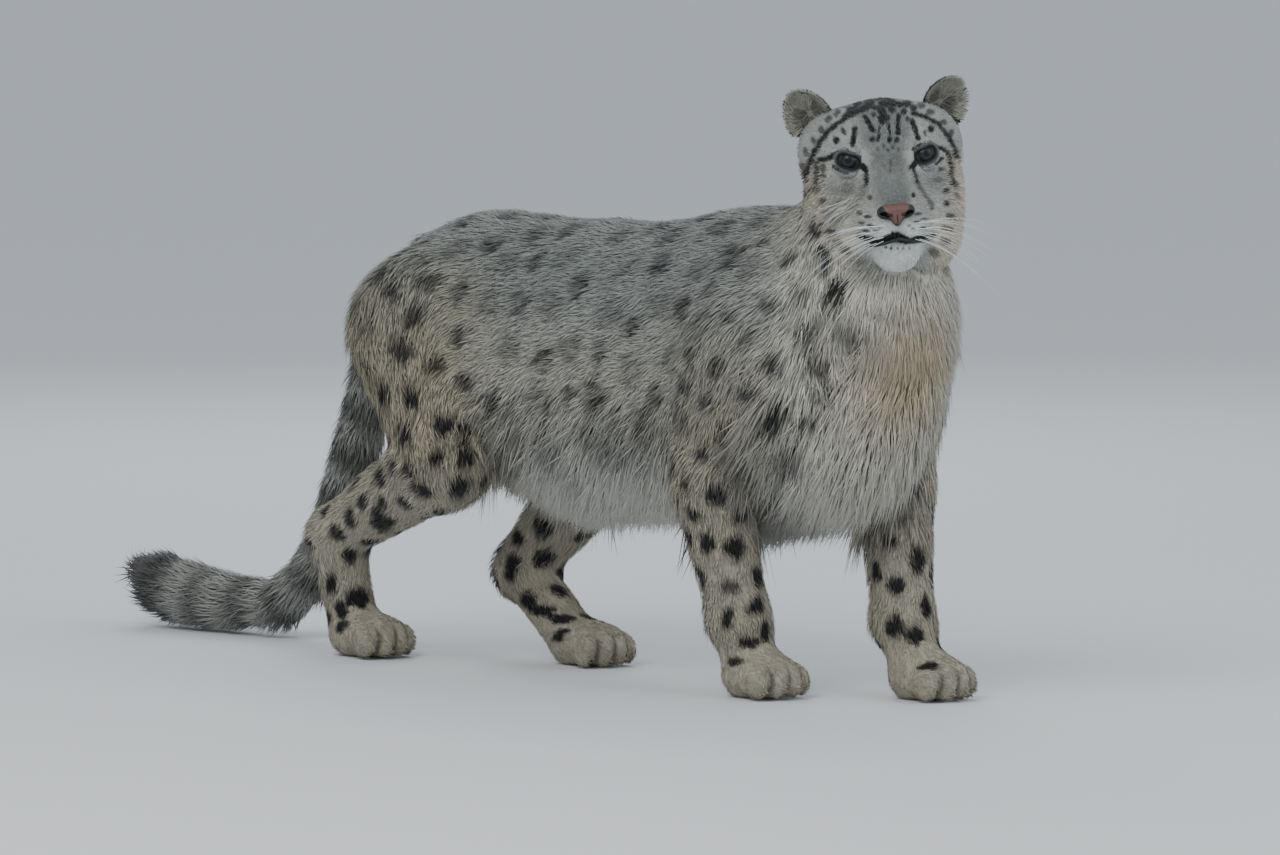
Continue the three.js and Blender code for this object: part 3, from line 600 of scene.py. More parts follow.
FACE_SPOTS = (
    (836.5, 140, 3.2, 3.6, 0, 0.85), (873, 139, 2.4, 3, 0, 0.85), (889, 140, 2.4, 3, 0, 0.8),
    (896, 140, 2.6, 3, 0, 0.8), (884, 146, 1.5, 2, 0, 0.6), (893, 147, 1.5, 2, 0, 0.6),
    (878, 149, 1.3, 1.6, 0, 0.5), (888, 150, 1.4, 2, 0, 0.5), (898, 150, 1.4, 2, 0, 0.5),
    (931, 129, 3, 3.6, 30, 0.85), (844, 131, 2, 3.6, 20, 0.7), (925, 133, 1.6, 2.6, 0, 0.6),
    (823, 168, 3.4, 4, 0, 0.6), (823, 176, 3, 2.2, 0, 0.6), (941, 169, 2.6, 2.2, 0, 0.65),
    (807, 193, 2.6, 4.4, 0, 0.7), (812, 188, 2, 3, 0, 0.6), (823.5, 200, 3, 3.2, 0, 0.85),
    (827, 213, 3.4, 2.4, 0, 0.7), (816, 223.5, 6.6, 3.6, 5, 0.9), (831, 232, 6.6, 3, -8, 0.85),
    (848, 208.5, 4, 2, 0, 0.75), (859.5, 213.5, 3.2, 2, 0, 0.75), (838, 201, 2.2, 1.8, 0, 0.5),
    (870, 198, 2.2, 2.6, 0, 0.8), (913, 195, 1.8, 2.4, 0, 0.8), (946, 191, 2.4, 3, 0, 0.75),
    (946, 203, 2.6, 3, 0, 0.8), (932, 208, 2.4, 1.8, 0, 0.6), (955, 196, 2, 3.4, 0, 0.5),
    (938, 180, 4, 3, 0, 0.35), (848, 188, 6, 5, 0, 0.3), (868, 217, 3.4, 1.5, 0, 0.7),
    (862, 223, 3.6, 1.3, 0, 0.6), (871, 226, 4.2, 1.4, -6, 0.7), (866, 231, 4, 1.3, -6, 0.7),
    (876, 231, 2.6, 1.1, 0, 0.6), (880, 228, 1.6, 1, 0, 0.5), (918, 214, 3.4, 1.4, 8, 0.65),
    (924, 219, 3.6, 1.3, 6, 0.6), (917, 222, 3.8, 1.3, 4, 0.7), (923, 228, 4, 1.3, 4, 0.7),
    (913, 229, 2.6, 1, 0, 0.6), (909, 226, 1.6, 1, 0, 0.5), (886, 247, 1.2, 1.6, 0, 0.7),
    (891, 248, 1.2, 1.8, 0, 0.7), (898, 248.5, 1.2, 1.8, 0, 0.7), (903, 249, 1.2, 1.6, 0, 0.6),
    (909, 248, 1.2, 1.6, 0, 0.6), (882, 252, 1, 1.4, 0, 0.4), (870, 102, 5, 4, 0, 0.85),
    (878, 98, 5, 3, 0, 0.85), (887, 103, 8, 4.4, 0, 0.95), (895, 97, 4.4, 2.4, 0, 0.8),
    (899, 105, 5, 3, 0, 0.85), (858, 104, 5, 3.4, 20, 0.8), (852, 110, 5, 3.4, 30, 0.8),
    (907, 104, 5, 3, 0, 0.8), (913, 108, 4, 3, 0, 0.75), (860, 97, 4, 2.4, 0, 0.75),
    (869, 95, 3, 2, 0, 0.7), (903, 98, 3, 2, 0, 0.7), (876, 108, 4, 3, 0, 0.8), (892, 110, 4, 3, 0, 0.8),
    (822, 130, 3, 4, 20, 0.6), (814, 140, 2.6, 4, 20, 0.6), (806, 152, 2.6, 4, 10, 0.55),
    (803, 166, 2.6, 4, 0, 0.55), (829, 119, 4, 3, 30, 0.6), (838, 106, 4, 3, 30, 0.6),
    (862, 109, 3.4, 2.6, 0, 0.7), (884, 97, 4, 2.4, 0, 0.8), (884, 114, 3, 3, 0, 0.8),
    (904, 112, 3, 3, 0, 0.8), (874, 115, 2.4, 2.6, 0, 0.7), (907, 119, 2, 3, 0, 0.7),
    (888, 118, 2.2, 3, 0, 0.75), (943, 122, 3, 3, 0, 0.6), (951, 133, 2.4, 3.6, -15, 0.6),
    (800, 205, 4, 3, 0, 0.6), (803, 218, 5, 3, 0, 0.6), (812, 240, 8, 4.4, 10, 0.75),
    (826, 250, 8, 5, 10, 0.7), (846, 250, 6, 4, 0, 0.6), (838, 242, 5, 3, 0, 0.5), (950, 216, 4, 3, 0, 0.6),
    (944, 241, 5, 3.4, -10, 0.6), (934, 252, 6, 3.6, -10, 0.5), (846, 105, 4, 3, 20, 0.5),
    (921, 106, 4, 3, 0, 0.6), (930, 112, 4, 3, 0, 0.6), (838, 113, 4, 3, 30, 0.6),
)

# The photo's scale at the near side of the body
PIXELS_PER_MM = 0.8145
MIRROR_SHIFT = 7


def noise3(p, scale, seed):
    """Smooth noise from 0 to 1, from waves in turned directions."""
    waves = np.random.default_rng(seed)
    total = np.zeros(p.shape[:-1])
    for octave in range(3):
        for _ in range(4):
            way = unit(waves.normal(size=3)) * (2 * np.pi / scale) * 1.9 ** octave
            total += np.sin(p @ way + waves.uniform(0, 6.28)) / 1.7 ** octave
    return 0.5 + total / 9.5


def spot_axes(centre):
    """Directions across and up the surface as the camera sees them, at a point of the coat."""
    n = coat_normal(centre)
    across = unit(VIEW_RIGHT - n * (n @ VIEW_RIGHT)[:, None])
    return across, np.cross(n, across)


def coat_normal(p, step=2.0):
    g = np.zeros_like(p, dtype=float)
    for k in range(3):
        q, r = p.astype(np.float32).copy(), p.astype(np.float32).copy()
        q[:, k] += step
        r[:, k] -= step
        g[:, k] = coat_field(q, parts_at(q)) - coat_field(r, parts_at(r))
    return unit(g)


# Spots are drawn larger and darker than their rows say, because the long coat hides part of each
SPOT_GROWTH = 1.28
SPOT_GAIN = 1.6
FACE_GAIN = 1.3


def placed_spots(rows, ring):
    """Spots on the coat's surface under their places in the photo."""
    rows = np.array(rows, float)
    centre = under_pixels(rows[:, :2])
    keep = ~np.isnan(centre[:, 0])
    rows, centre = rows[keep], centre[keep]
    across, up = spot_axes(centre)
    turn = np.radians(rows[:, 4])[:, None]
    u = across * np.cos(turn) + up * np.sin(turn)
    v = up * np.cos(turn) - across * np.sin(turn)
    size = SPOT_GROWTH * rows[:, 2:4] / PIXELS_PER_MM
    return {"centre": centre, "u": u, "v": v, "size": size, "dark": rows[:, 5],
            "ring": np.full(len(rows), ring)}


def gathered(groups):
    """Groups of spots as one."""
    return {key: np.concatenate([g[key] for g in groups]) for key in groups[0]}


def seeded_spots(candidates, normals, spacing, radius, dark, ring, taken, seed):
    """Spots at seeded places of the skin, kept apart from each other and from those that are there."""
    draw = np.random.default_rng(seed)
    order = draw.permutation(len(candidates))
    places, ways = [], []
    blocked = list(taken)
    for k in order:
        p = candidates[k]
        if blocked and np.min(np.linalg.norm(np.array(blocked) - p, axis=1)) < spacing:
            continue
        blocked.append(p)
        places.append(p)
        ways.append(normals[k])
    centre, n = np.array(places), np.array(ways)
    across = unit(np.cross(n, draw.normal(size=n.shape)))
    count = len(centre)
    return {"centre": centre, "u": across, "v": np.cross(n, across),
            "size": radius * draw.uniform(0.75, 1.2, (count, 2)),
            "dark": dark * draw.uniform(0.75, 1.1, count), "ring": np.full(count, ring)}


def spot_mask(p, spots):
    """How dark the spots make each point, from 0 to 1."""
    dark = np.zeros(len(p))
    wobble = noise3(p, 26, 3) - 0.5
    fine = noise3(p, 9, 4) - 0.5
    for k in range(len(spots["centre"])):
        d = p - spots["centre"][k]
        near = (d * d).sum(1) < (spots["size"][k].max() * 1.9 + 40) ** 2
        if not near.any():
            continue
        e = d[near]
        u, v = e @ spots["u"][k] / spots["size"][k, 0], e @ spots["v"][k] / spots["size"][k, 1]
        r = np.hypot(u, v) + wobble[near] * 0.7 + fine[near] * 0.5
        mask = ramp(r, 1.3, 0.8)
        if spots["ring"][k]:
            angle = np.arctan2(v, u)
            broken = 0.75 + 0.35 * np.sin(angle * 3 + k * 1.7) + wobble[near]
            mask = mask * (1 - 0.5 * ramp(r, 0.55, 0.25)) * np.clip(broken, 0.4, 1)
        dark[near] = np.maximum(dark[near], mask * min(1.0, spots["dark"][k] * SPOT_GAIN))
    return dark


def face_mask(h):
    """The marks of the face at points in the head's frame, laid on it from the front."""
    px, py = to_photo(out_of_head(h)).T
    dark = np.zeros(len(h))
    wobble = (noise3(h, 11, 5) - 0.5) * 0.8
    for points, half_width, strength in FACE_LINES:
        for a, b in zip(points, points[1:]):
            d = np.array(b) - np.array(a)
            t = np.clip(((px - a[0]) * d[0] + (py - a[1]) * d[1]) / (d @ d), 0, 1)
            r = np.hypot(px - a[0] - t * d[0], py - a[1] - t * d[1]) / half_width + wobble
            dark = np.maximum(dark, strength * ramp(r, 1.55, 0.8))
    for cx, cy, ru, rv, turn, strength in FACE_SPOTS:
        c, s = np.cos(np.radians(turn)), np.sin(np.radians(turn))
        u, v = px - cx, py - cy
        r = np.hypot((u * c - v * s) / ru, (u * s + v * c) / rv) + wobble * 0.7
        dark = np.maximum(dark, strength * ramp(r, 1.4, 0.8))
    return np.minimum(dark * FACE_GAIN, 1) * ramp(h[:, 0], -112, -80)


def mixed(a, b, t):
    """Colours a turned into b where t goes from 0 to 1."""
    return a + (b - a) * t[:, None]


def plain(colour, p):
    return np.tile(colour, (len(p), 1))


def head_colour(h):
    """The head's colour without its marks, in its own frame."""
    forward, side, up = h[:, 0], np.abs(h[:, 1]), h[:, 2]
    colour = plain(FACE_PALE, h) * 0.86
    colour = mixed(colour, CHEEK_CREAM, ramp(side, 60, 88) * ramp(up, 30, -10))
    colour = mixed(colour, CHEEK_CREAM, ramp(up, -55, -80) * ramp(side, 35, 60))
    bridge = ramp(side, 30, 12) * ramp(up, 44, 12)
    colour = mixed(colour, FACE_GREY, 0.85 * bridge * ramp(up, -62, -40))
    under_eye = np.exp(-(((side - 54) / 20) ** 2 + ((up + 18) / 14) ** 2))
    colour = mixed(colour, FACE_GREY, 0.6 * under_eye)
    forehead = ramp(up, 20, 40) * ramp(side, 42, 20)
    colour = mixed(colour, FACE_GREY, 0.65 * forehead)
    pad = np.exp(-(((side - 20) / 20) ** 2 + ((up + 76) / 14) ** 2)) * ramp(forward, 10, 40)
    colour = mixed(colour, CHIN_WHITE, 0.8 * pad)
    chin = ramp(up, -88, -98) * ramp(side, 38, 22) * ramp(forward, -20, 10)
    colour = mixed(colour, CHIN_WHITE, chin)
    brow_light = np.exp(-(((side - 46) / 14) ** 2 + ((up - 36) / 7) ** 2))
    colour = mixed(colour, FACE_PALE, 0.8 * brow_light)
    lid_light = np.exp(-(((side - 44) / 15) ** 2 + ((up + 1) / 4) ** 2))
    colour = mixed(colour, CHIN_WHITE, 0.6 * lid_light)
    crown = ramp(forward, -50, -95) * ramp(up, -10, 30)
    return mixed(colour, BACK_GREY, crown)


def near_weights(parts, soft=14):
    """How much each part counts at each point: nearly all of it for the nearest."""
    names = list(parts)
    d = np.stack([parts[n] for n in names], 1)
    w = np.exp(-(d - d.min(1, keepdims=True)) / soft)
    w /= w.sum(1, keepdims=True)
    return {n: w[:, k] for k, n in enumerate(names)}


TAIL_BANDS = (0.1, 0.17, 0.24, 0.31, 0.385, 0.46, 0.535, 0.61, 0.69, 0.77, 0.86)


def base_colour(p, parts):
    """The coat's colour without spots."""
    x, y, z = p[:, 0], p[:, 1], p[:, 2]
    w = near_weights(parts)
    height = z + 10 * (noise3(p, 120, 8) - 0.5)
    trunk = mixed(plain(BELLY_CREAM, p), FLANK_GREY, ramp(height, 262, 330))
    trunk = mixed(trunk, BACK_GREY, ramp(height, 380, 520))
    haunch = ramp(x, -140, -300) * ramp(z, 580, 420)
    trunk = mixed(trunk, HAUNCH_BEIGE, 0.8 * haunch * ramp(z, 190, 240))
    shoulder = ramp(x, 60, 140) * ramp(x, 330, 260) * ramp(z, 540, 440)
    trunk = mixed(trunk, SHOULDER_GREY, 0.7 * shoulder)
    front = ramp(x, 290, 345) * ramp(z, 620, 560)
    chest = mixed(plain(CHEST_PALE, p), CHEST_TAN,
                  np.exp(-(((y + 10) / 70) ** 2 + ((z - 410) / 75) ** 2)))
    trunk = mixed(trunk, chest, front)
    neck_top = mixed(plain(CHEST_PALE, p), SHOULDER_GREY, ramp(z + 0.55 * (280 - x), 500, 600))
    neck_top = mixed(neck_top, BACK_GREY, ramp(z + 0.5 * (300 - x), 600, 680))
    neck = mixed(neck_top, chest, ramp(x, 320, 370) * ramp(z, 600, 540))
    leg = mixed(plain(LEG_BEIGE, p), HAUNCH_BEIGE, ramp(z, 200, 330))
    leg = mixed(leg, trunk, ramp(z, 340, 470))
    colours = {"torso": trunk, "neck": neck, "head": head_colour(seen_from_head(p))}
    _, share, _ = tail_nearest(p.astype(np.float32))
    tail = plain(TAIL_GREY, p)
    wave = share + 0.012 * (noise3(p, 50, 9) - 0.5)
    band = np.max([np.exp(-((wave - at) / 0.017) ** 2) for at in TAIL_BANDS], 0)
    tail = mixed(tail, MARK_AND_SHADE_DARK, 0.8 * band * ramp(z, 0, 30))
    tail = mixed(tail, MARK_AND_SHADE_DARK, 0.85 * ramp(wave, 0.9, 0.95))
    colours["tail"] = tail
    total = np.zeros((len(p), 3))
    for name, weight in w.items():
        colour = colours.get(name, leg)
        if name.endswith("_paw"):
            q = to_paw(p, name[:-4])
            # painted shade: dark lines in the clefts between the toes, where shade falls
            between = np.max([np.exp(-((q[:, 1] - at) / 2.6) ** 2) for at in (-23, 0, 23)], 0)
            groove = between * ramp(q[:, 0], 16, 34) * ramp(p[:, 2], 50, 30)
            colour = mixed(plain(PAW_BEIGE, p), MARK_AND_SHADE_DARK, 0.75 * groove)
        total += colour * weight[:, None]
    return total, w


def body_spots(points, normals, weights):
    """Every spot: those placed in the photo's view, their mirror on the far side, and seeded ones."""
    have = gathered([placed_spots(LEG_SPOTS + SHOULDER_SPOTS + HAUNCH_SPOTS + FAR_LEG_SPOTS, False),
                     placed_spots(FLANK_RINGS, True)])
    centre = have["centre"]
    mirror = np.array((1, -1, 1))
    mirrored = dict(have)
    mirrored["centre"] = centre * mirror + np.random.default_rng(21).normal(0, MIRROR_SHIFT, centre.shape)
    mirrored["u"], mirrored["v"] = have["u"] * mirror, have["v"] * mirror
    trunk = (centre[:, 2] > 260) & (np.abs(centre[:, 1]) > 35) & (centre[:, 0] < 330)
    groups = [have, {key: value[trunk] for key, value in mirrored.items()}]
    leg = sum(weights[n] + weights[n + "_paw"] for n in LEGS)
    x, z = points[:, 0], points[:, 2]
    h = seen_from_head(points)
    rear_head = (weights["head"] > 0.6) & (h[:, 0] < -84)
    # Where they go, spacing, radius, how dark, whether rings, whether clear of the others, and the seed
    seeded = (
        ((leg > 0.7) & (z > 60) & (z < 330), 38, 11.5, 0.85, False, True, 31),
        ((z > 300) & (weights["torso"] > 0.5) & (x < 320), 50, 16, 0.72, True, True, 32),
        ((leg > 0.5) & (z >= 320), 44, 13.5, 0.75, True, True, 36),
        ((weights["neck"] > 0.5) & (x < 350), 42, 10, 0.8, False, True, 33),
        (rear_head & (h[:, 2] > -20), 17, 5.5, 0.85, False, False, 34),
        (rear_head & (h[:, 2] <= -20), 30, 8, 0.7, False, False, 35),
    )
    for where, spacing, radius, dark, ring, clear, seed in seeded:
        taken = np.concatenate([group["centre"] for group in groups]) if clear else []
        groups.append(seeded_spots(points[where], normals[where], spacing, radius, dark, ring, taken, seed))
    return gathered(groups)


def coat_colour(p, spots):
    """The coat's colour with every mark, and how much each part counts."""
    parts = parts_at(p.astype(np.float32))
    colour, w = base_colour(p, parts)
    dark = spot_mask(p, spots)
    h = seen_from_head(p)
    on_head = w["head"] * ramp(h[:, 0], -112, -84)
    dark = dark * (1 - on_head * ramp(w["head"], 0.3, 0.8))
    dark = np.maximum(dark, face_mask(h) * ramp(w["head"], 0.3, 0.7))
    mottle = 0.92 + 0.16 * noise3(p, 38, 12)
    return mixed(colour * mottle[:, None], MARK_AND_SHADE_DARK, np.clip(dark, 0, 1)), w


def flow_of(p, n, w):
    """The lie of the coat: a unit direction along the surface at each point."""
    x, y, z = p[:, 0], p[:, 1], p[:, 2]
    count = len(p)
    trunk = np.stack([np.full(count, -1.0), 0 * y, -0.35 - 0.75 * ramp(z, 460, 250)], 1)
    chest = np.stack([0 * x - 0.1, np.sign(y + 6) * 0.28 * ramp(np.abs(y + 6), 2, 40), 0 * x - 1.0], 1)
    front = ramp(x, 280, 360)[:, None]
    trunk = trunk * (1 - front) + chest * front
    neck = np.stack([0 * x - 0.75, 0 * x, 0 * x - 0.6], 1)
    neck = neck * (1 - front) + chest * front
    h = seen_from_head(p)
    from_nose = np.stack([h[:, 0] - 64, h[:, 1], h[:, 2] + 62], 1)
    muzzle_way = unit(from_nose * np.array((0.9, 1, 1)))
    back_way = np.stack([0 * x - 1.0, h[:, 1] * 0.004, np.where(h[:, 2] < 0, -0.6, 0.2)], 1)
    back = ramp(h[:, 0], 10, -60)[:, None]
    head = (muzzle_way * (1 - back) + unit(back_way) * back) @ HEAD_TURN.T.astype(float)
    total = trunk * w["torso"][:, None] + neck * w["neck"][:, None] + head * w["head"][:, None]
    _, _, way = tail_nearest(p.astype(np.float32))
    total += way * w["tail"][:, None]
    for name, leg in LEGS.items():
        joints = [np.array(leg["hip"], float), np.array(leg["knee"], float), np.array(leg["ankle"], float)]
        best = np.full(count, 1e9)
        down = np.zeros((count, 3))
        joints.append(np.array((leg["paw"][0], leg["paw"][1], 30.0)))
        for a, b in zip(joints, joints[1:]):
            _, away = along_rod(p.astype(np.float32), a, b)
            nearer = away < best
            best = np.where(nearer, away, best)
            down[nearer] = unit(b - a)
        down[:, 2] -= 0.35
        total += unit(down) * w[name][:, None]
        a = np.radians(PAW_HEADING[name])
        total += np.array((np.cos(a), np.sin(a), -0.5)) * w[name + "_paw"][:, None]
    along = total - n * dot(total, n)[:, None]
    return unit(along)


# Meshes
def mesh_object(name, points, faces, colours=None, uv=None, smooth=True):
    """An object from points in metres and faces that all have the same number of corners."""
    sides = faces.shape[1]
    mesh = bpy.data.meshes.new(name)
    mesh.vertices.add(len(points))
    mesh.vertices.foreach_set("co", points.astype(np.float32).ravel())
    mesh.loops.add(faces.size)
    mesh.loops.foreach_set("vertex_index", faces.astype(np.int32).ravel())
    mesh.polygons.add(len(faces))
    mesh.polygons.foreach_set("loop_start", np.arange(0, faces.size, sides, dtype=np.int32))
    mesh.update(calc_edges=True)
    mesh.polygons.foreach_set("use_smooth", np.full(len(faces), smooth))
    if colours is not None:
        layer = mesh.color_attributes.new("coat_colour", "FLOAT_COLOR", "POINT")
        rgba = np.concatenate([colours, np.ones((len(colours), 1))], 1)
        layer.data.foreach_set("color", rgba.astype(np.float32).ravel())
    if uv is not None:
        layer = mesh.uv_layers.new(name="OFBake")
        layer.data.foreach_set("uv", uv[faces.ravel()].astype(np.float32).ravel())
    thing = bpy.data.objects.new(name, mesh)
    bpy.context.scene.collection.objects.link(thing)
    return thing


def vertex_normals(points, faces):
    a, b, c = points[faces[:, 0]], points[faces[:, 1]], points[faces[:, 2]]
    n = np.cross(b - a, c - a)
    if faces.shape[1] == 4:
        n = np.cross(points[faces[:, 2]] - a, points[faces[:, 3]] - b)
    total = np.zeros_like(points)
    for k in range(faces.shape[1]):
        for axis in range(3):
            total[:, axis] += np.bincount(faces[:, k], n[:, axis], len(points))
    return unit(total)


def ring_faces(rows, around, flipped=False):
    """Squares between rings of points that follow each other."""
    k = np.arange(around)
    m = (k + 1) % around
    corners = (k, k + around, m + around, m) if flipped else (k, m, m + around, k + around)
    return np.concatenate([np.stack(corners, 1) + r * around for r in range(rows - 1)])


def joined(parts):
    """Sets of points, faces, colours and perhaps places on the unwrap, as one set."""
    starts = np.cumsum([0] + [len(part[0]) for part in parts])
    faces = np.concatenate([part[1] + start for part, start in zip(parts, starts)])
    points, *others = (np.concatenate([part[k] for part in parts]) for k in (0, *range(2, len(parts[0]))))
    return points, faces, *others


# Materials
def material(name, build):
    made = bpy.data.materials.new(name)
    made.use_nodes = True
    nodes = made.node_tree.nodes
    build(made.node_tree, nodes, nodes["Principled BSDF"])
    return made


def set_inputs(node, values):
    for name, value in values.items():
        node.inputs[name].default_value = value


def textured(tree, nodes, kind, values):
    """A node for the mesh's colours, and a texture laid over the object."""
    colour = nodes.new("ShaderNodeAttribute")
    colour.attribute_name = "coat_colour"
    texture = nodes.new(kind)
    set_inputs(texture, values)
    tree.links.new(nodes.new("ShaderNodeTexCoord").outputs["Object"], texture.inputs["Vector"])
    return colour, texture


def bumped(tree, nodes, shader, height, strength, distance):
    lift = nodes.new("ShaderNodeBump")
    set_inputs(lift, {"Strength": strength, "Distance": distance})
    tree.links.new(height, lift.inputs["Height"])
    tree.links.new(lift.outputs["Normal"], shader.inputs["Normal"])


def fur_material(name, streak_scale, bump):
    def build(tree, nodes, shader):
        colour, noise = textured(tree, nodes, "ShaderNodeTexNoise", {"Scale": streak_scale, "Detail": 3})
        level = nodes.new("ShaderNodeMapRange")
        set_inputs(level, {"To Min": 0.84, "To Max": 1.16})
        tree.links.new(noise.outputs["Fac"], level.inputs["Value"])
        shade = nodes.new("ShaderNodeVectorMath")
        shade.operation = "SCALE"
        tree.links.new(colour.outputs["Color"], shade.inputs[0])
        tree.links.new(level.outputs["Result"], shade.inputs["Scale"])
        tree.links.new(shade.outputs["Vector"], shader.inputs["Base Color"])
        set_inputs(shader, {"Roughness": 0.72, "Specular IOR Level": 0.25, "Sheen Weight": 0.12})
        if bump:
            bumped(tree, nodes, shader, noise.outputs["Fac"], bump, 0.002)
    return material(name, build)


def wet_material(name, roughness, coat, specular, bump):
    def build(tree, nodes, shader):
        colour, grain = textured(tree, nodes, "ShaderNodeTexVoronoi", {"Scale": 900})
        tree.links.new(colour.outputs["Color"], shader.inputs["Base Color"])
        bumped(tree, nodes, shader, grain.outputs["Distance"], bump, 0.0006)
        set_inputs(shader, {"Roughness": roughness, "Coat Weight": coat, "Coat Roughness": 0.03,
                            "Specular IOR Level": specular})
    return material(name, build)


FUR = fur_material("fur", 260, 0)
SKIN = fur_material("short_fur", 420, 0.6)
EYE = wet_material("eye", 0.4, 0.3, 0.2, 0.0)
NOSE = wet_material("nose_skin", 0.42, 0.0, 0.5, 0.35)


def finished(thing, finish, slot, *nodes):
    thing.data.materials.append(finish)
    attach(thing, "root")
    if nodes:
        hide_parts(*nodes)
    return thing


# The skin: one closed surface over the whole body
def skin_lines():
    return (
        line_steps(-1050, 8, 300, 2.8, 536, 8, 560),
        line_steps(-240, 8, -152, 2.8, 104, 8, 240),
        line_steps(-14, 5, 96, 8, 520, 2.8, 772),
    )


EAR = {"side": 86, "up": 74, "forward": -62, "half_width": 27, "half_height": 31, "cup": 19, "wall": 3,
       "taper": 0.16}
EAR_YAW, EAR_ROLL, EYE_YAW = 0.42, -0.5, 0.2


def ear_points(share, angle, outer):
    """A point of the ear's cup in its own frame: share from the middle to the rim, and the angle round it."""
    depth = EAR["cup"] if outer else EAR["cup"] - EAR["wall"]
    x = -depth * np.sqrt(np.maximum(1 - (share * 0.96) ** 2, 0)) + 3 * share ** 3
    narrow = 1 - EAR["taper"] * share * np.sin(angle)
    return np.stack([x, EAR["half_width"] * share * np.cos(angle) * narrow,
                     EAR["half_height"] * share * np.sin(angle)], -1)


def ear_to_head(p, side):
    foot = np.array((EAR["forward"], EAR["side"] * side, EAR["up"]))
    return p @ turned(2, EAR_YAW * side).T @ turned(0, EAR_ROLL * side).T + foot


def ear_shell(side, around=40, rings=9):
    """The ear as a thin closed cup: inner face out to the rim, then the back."""
    angle = np.linspace(0, 2 * np.pi, around, endpoint=False)
    share = np.linspace(0.01, 1, rings)
    rows = [ear_points(np.full(around, s), angle, False) for s in share]
    rows += [ear_points(np.full(around, s), angle, True) for s in share[::-1]]
    return out_of_head(ear_to_head(np.concatenate(rows), side)), ring_faces(len(rows), around)


def lid_open(turn, side):
    """How wide the lids open from the eye's axis, in radians, round the eye."""
    slant = turn - side * np.radians(20)
    return np.radians(22 + 29 * np.abs(np.cos(slant)) ** 2.4 + 7 * np.maximum(0, -np.sin(slant)))


def on_eye(turn, polar, radius, side):
    """Points round an eye: the angle round its axis, the angle from the axis, and how far out."""
    p = np.stack([radius * np.cos(polar), radius * np.sin(polar) * np.cos(turn),
                  radius * np.sin(polar) * np.sin(turn)], -1)
    p = p @ turned(2, EYE_YAW * side).T + np.array((EYE_FORWARD, EYE_SIDE * side, EYE_UP))
    return out_of_head(p)


LID_ROWS = (
    (-0.3, 0.0), (0.1, 0.3), (0.9, 1.2), (1.6, 4.0), (2.4, 9.0), (3.2, 16.0), (4.2, 26.0), (4.8, 40.0),
)


def lids(side, around=56):
    turn = np.linspace(0, 2 * np.pi, around, endpoint=False)
    rows, shades = [], []
    for rise, wide in LID_ROWS:
        rows.append(on_eye(turn, lid_open(turn, side) + np.radians(wide), EYE_RADIUS + 0.4 + rise, side))
        shades.append(np.full(around, wide))
    return np.concatenate(rows), ring_faces(len(rows), around), np.concatenate(shades)


# Painted shade: the skin is drawn darker than the tips of its coat by this factor, so that the gaps between
# the tufts look shaded
SKIN_PAINTED_SHADE = 0.84
SKIN_LINES = skin_lines()
skin_points, skin_quads = surface_nets(grid_value(SKIN_LINES), SKIN_LINES)
skin_normals = vertex_normals(skin_points, skin_quads)
skin_parts = parts_at(skin_points.astype(np.float32))
SPOTS = body_spots(skin_points, skin_normals, near_weights(skin_parts))


def whole_skin():
    colour, _ = coat_colour(skin_points, SPOTS)
    # painted shade: the skin darker than its coat, so the gaps between the tufts look shaded
    parts = [(skin_points, skin_quads, colour * SKIN_PAINTED_SHADE)]
    for side in (-1, 1):
        ear, ear_faces = ear_shell(side)
        # painted shade: the ear's skin is the pale of its hair darkened, so the gaps between its hairs look
        # shaded
        parts.append((ear, ear_faces, plain(EAR_PALE * 0.6, ear)))
        lid, lid_faces, wide = lids(side)
        # the lid's rim is black; beyond it the skin is the face's grey darkened, painted shade in the gaps
        # between the lid's hairs
        parts.append((lid, lid_faces, mixed(plain(LIP_BLACK, lid), FACE_GREY * 0.8, ramp(wide, 5, 12))))
    points, faces, colours = joined(parts)
    return mesh_object("skin", placed(points), faces, colours)


FLESH = ["head", "neck", "torso", "ear_right", "ear_left", "tail_base", "tail_middle", "tail_tip"]
FLESH += [f"{leg}_{part}" for leg in LEGS for part in ("leg", "paw")]
finished(whole_skin(), SKIN, "fur_grey", *FLESH)


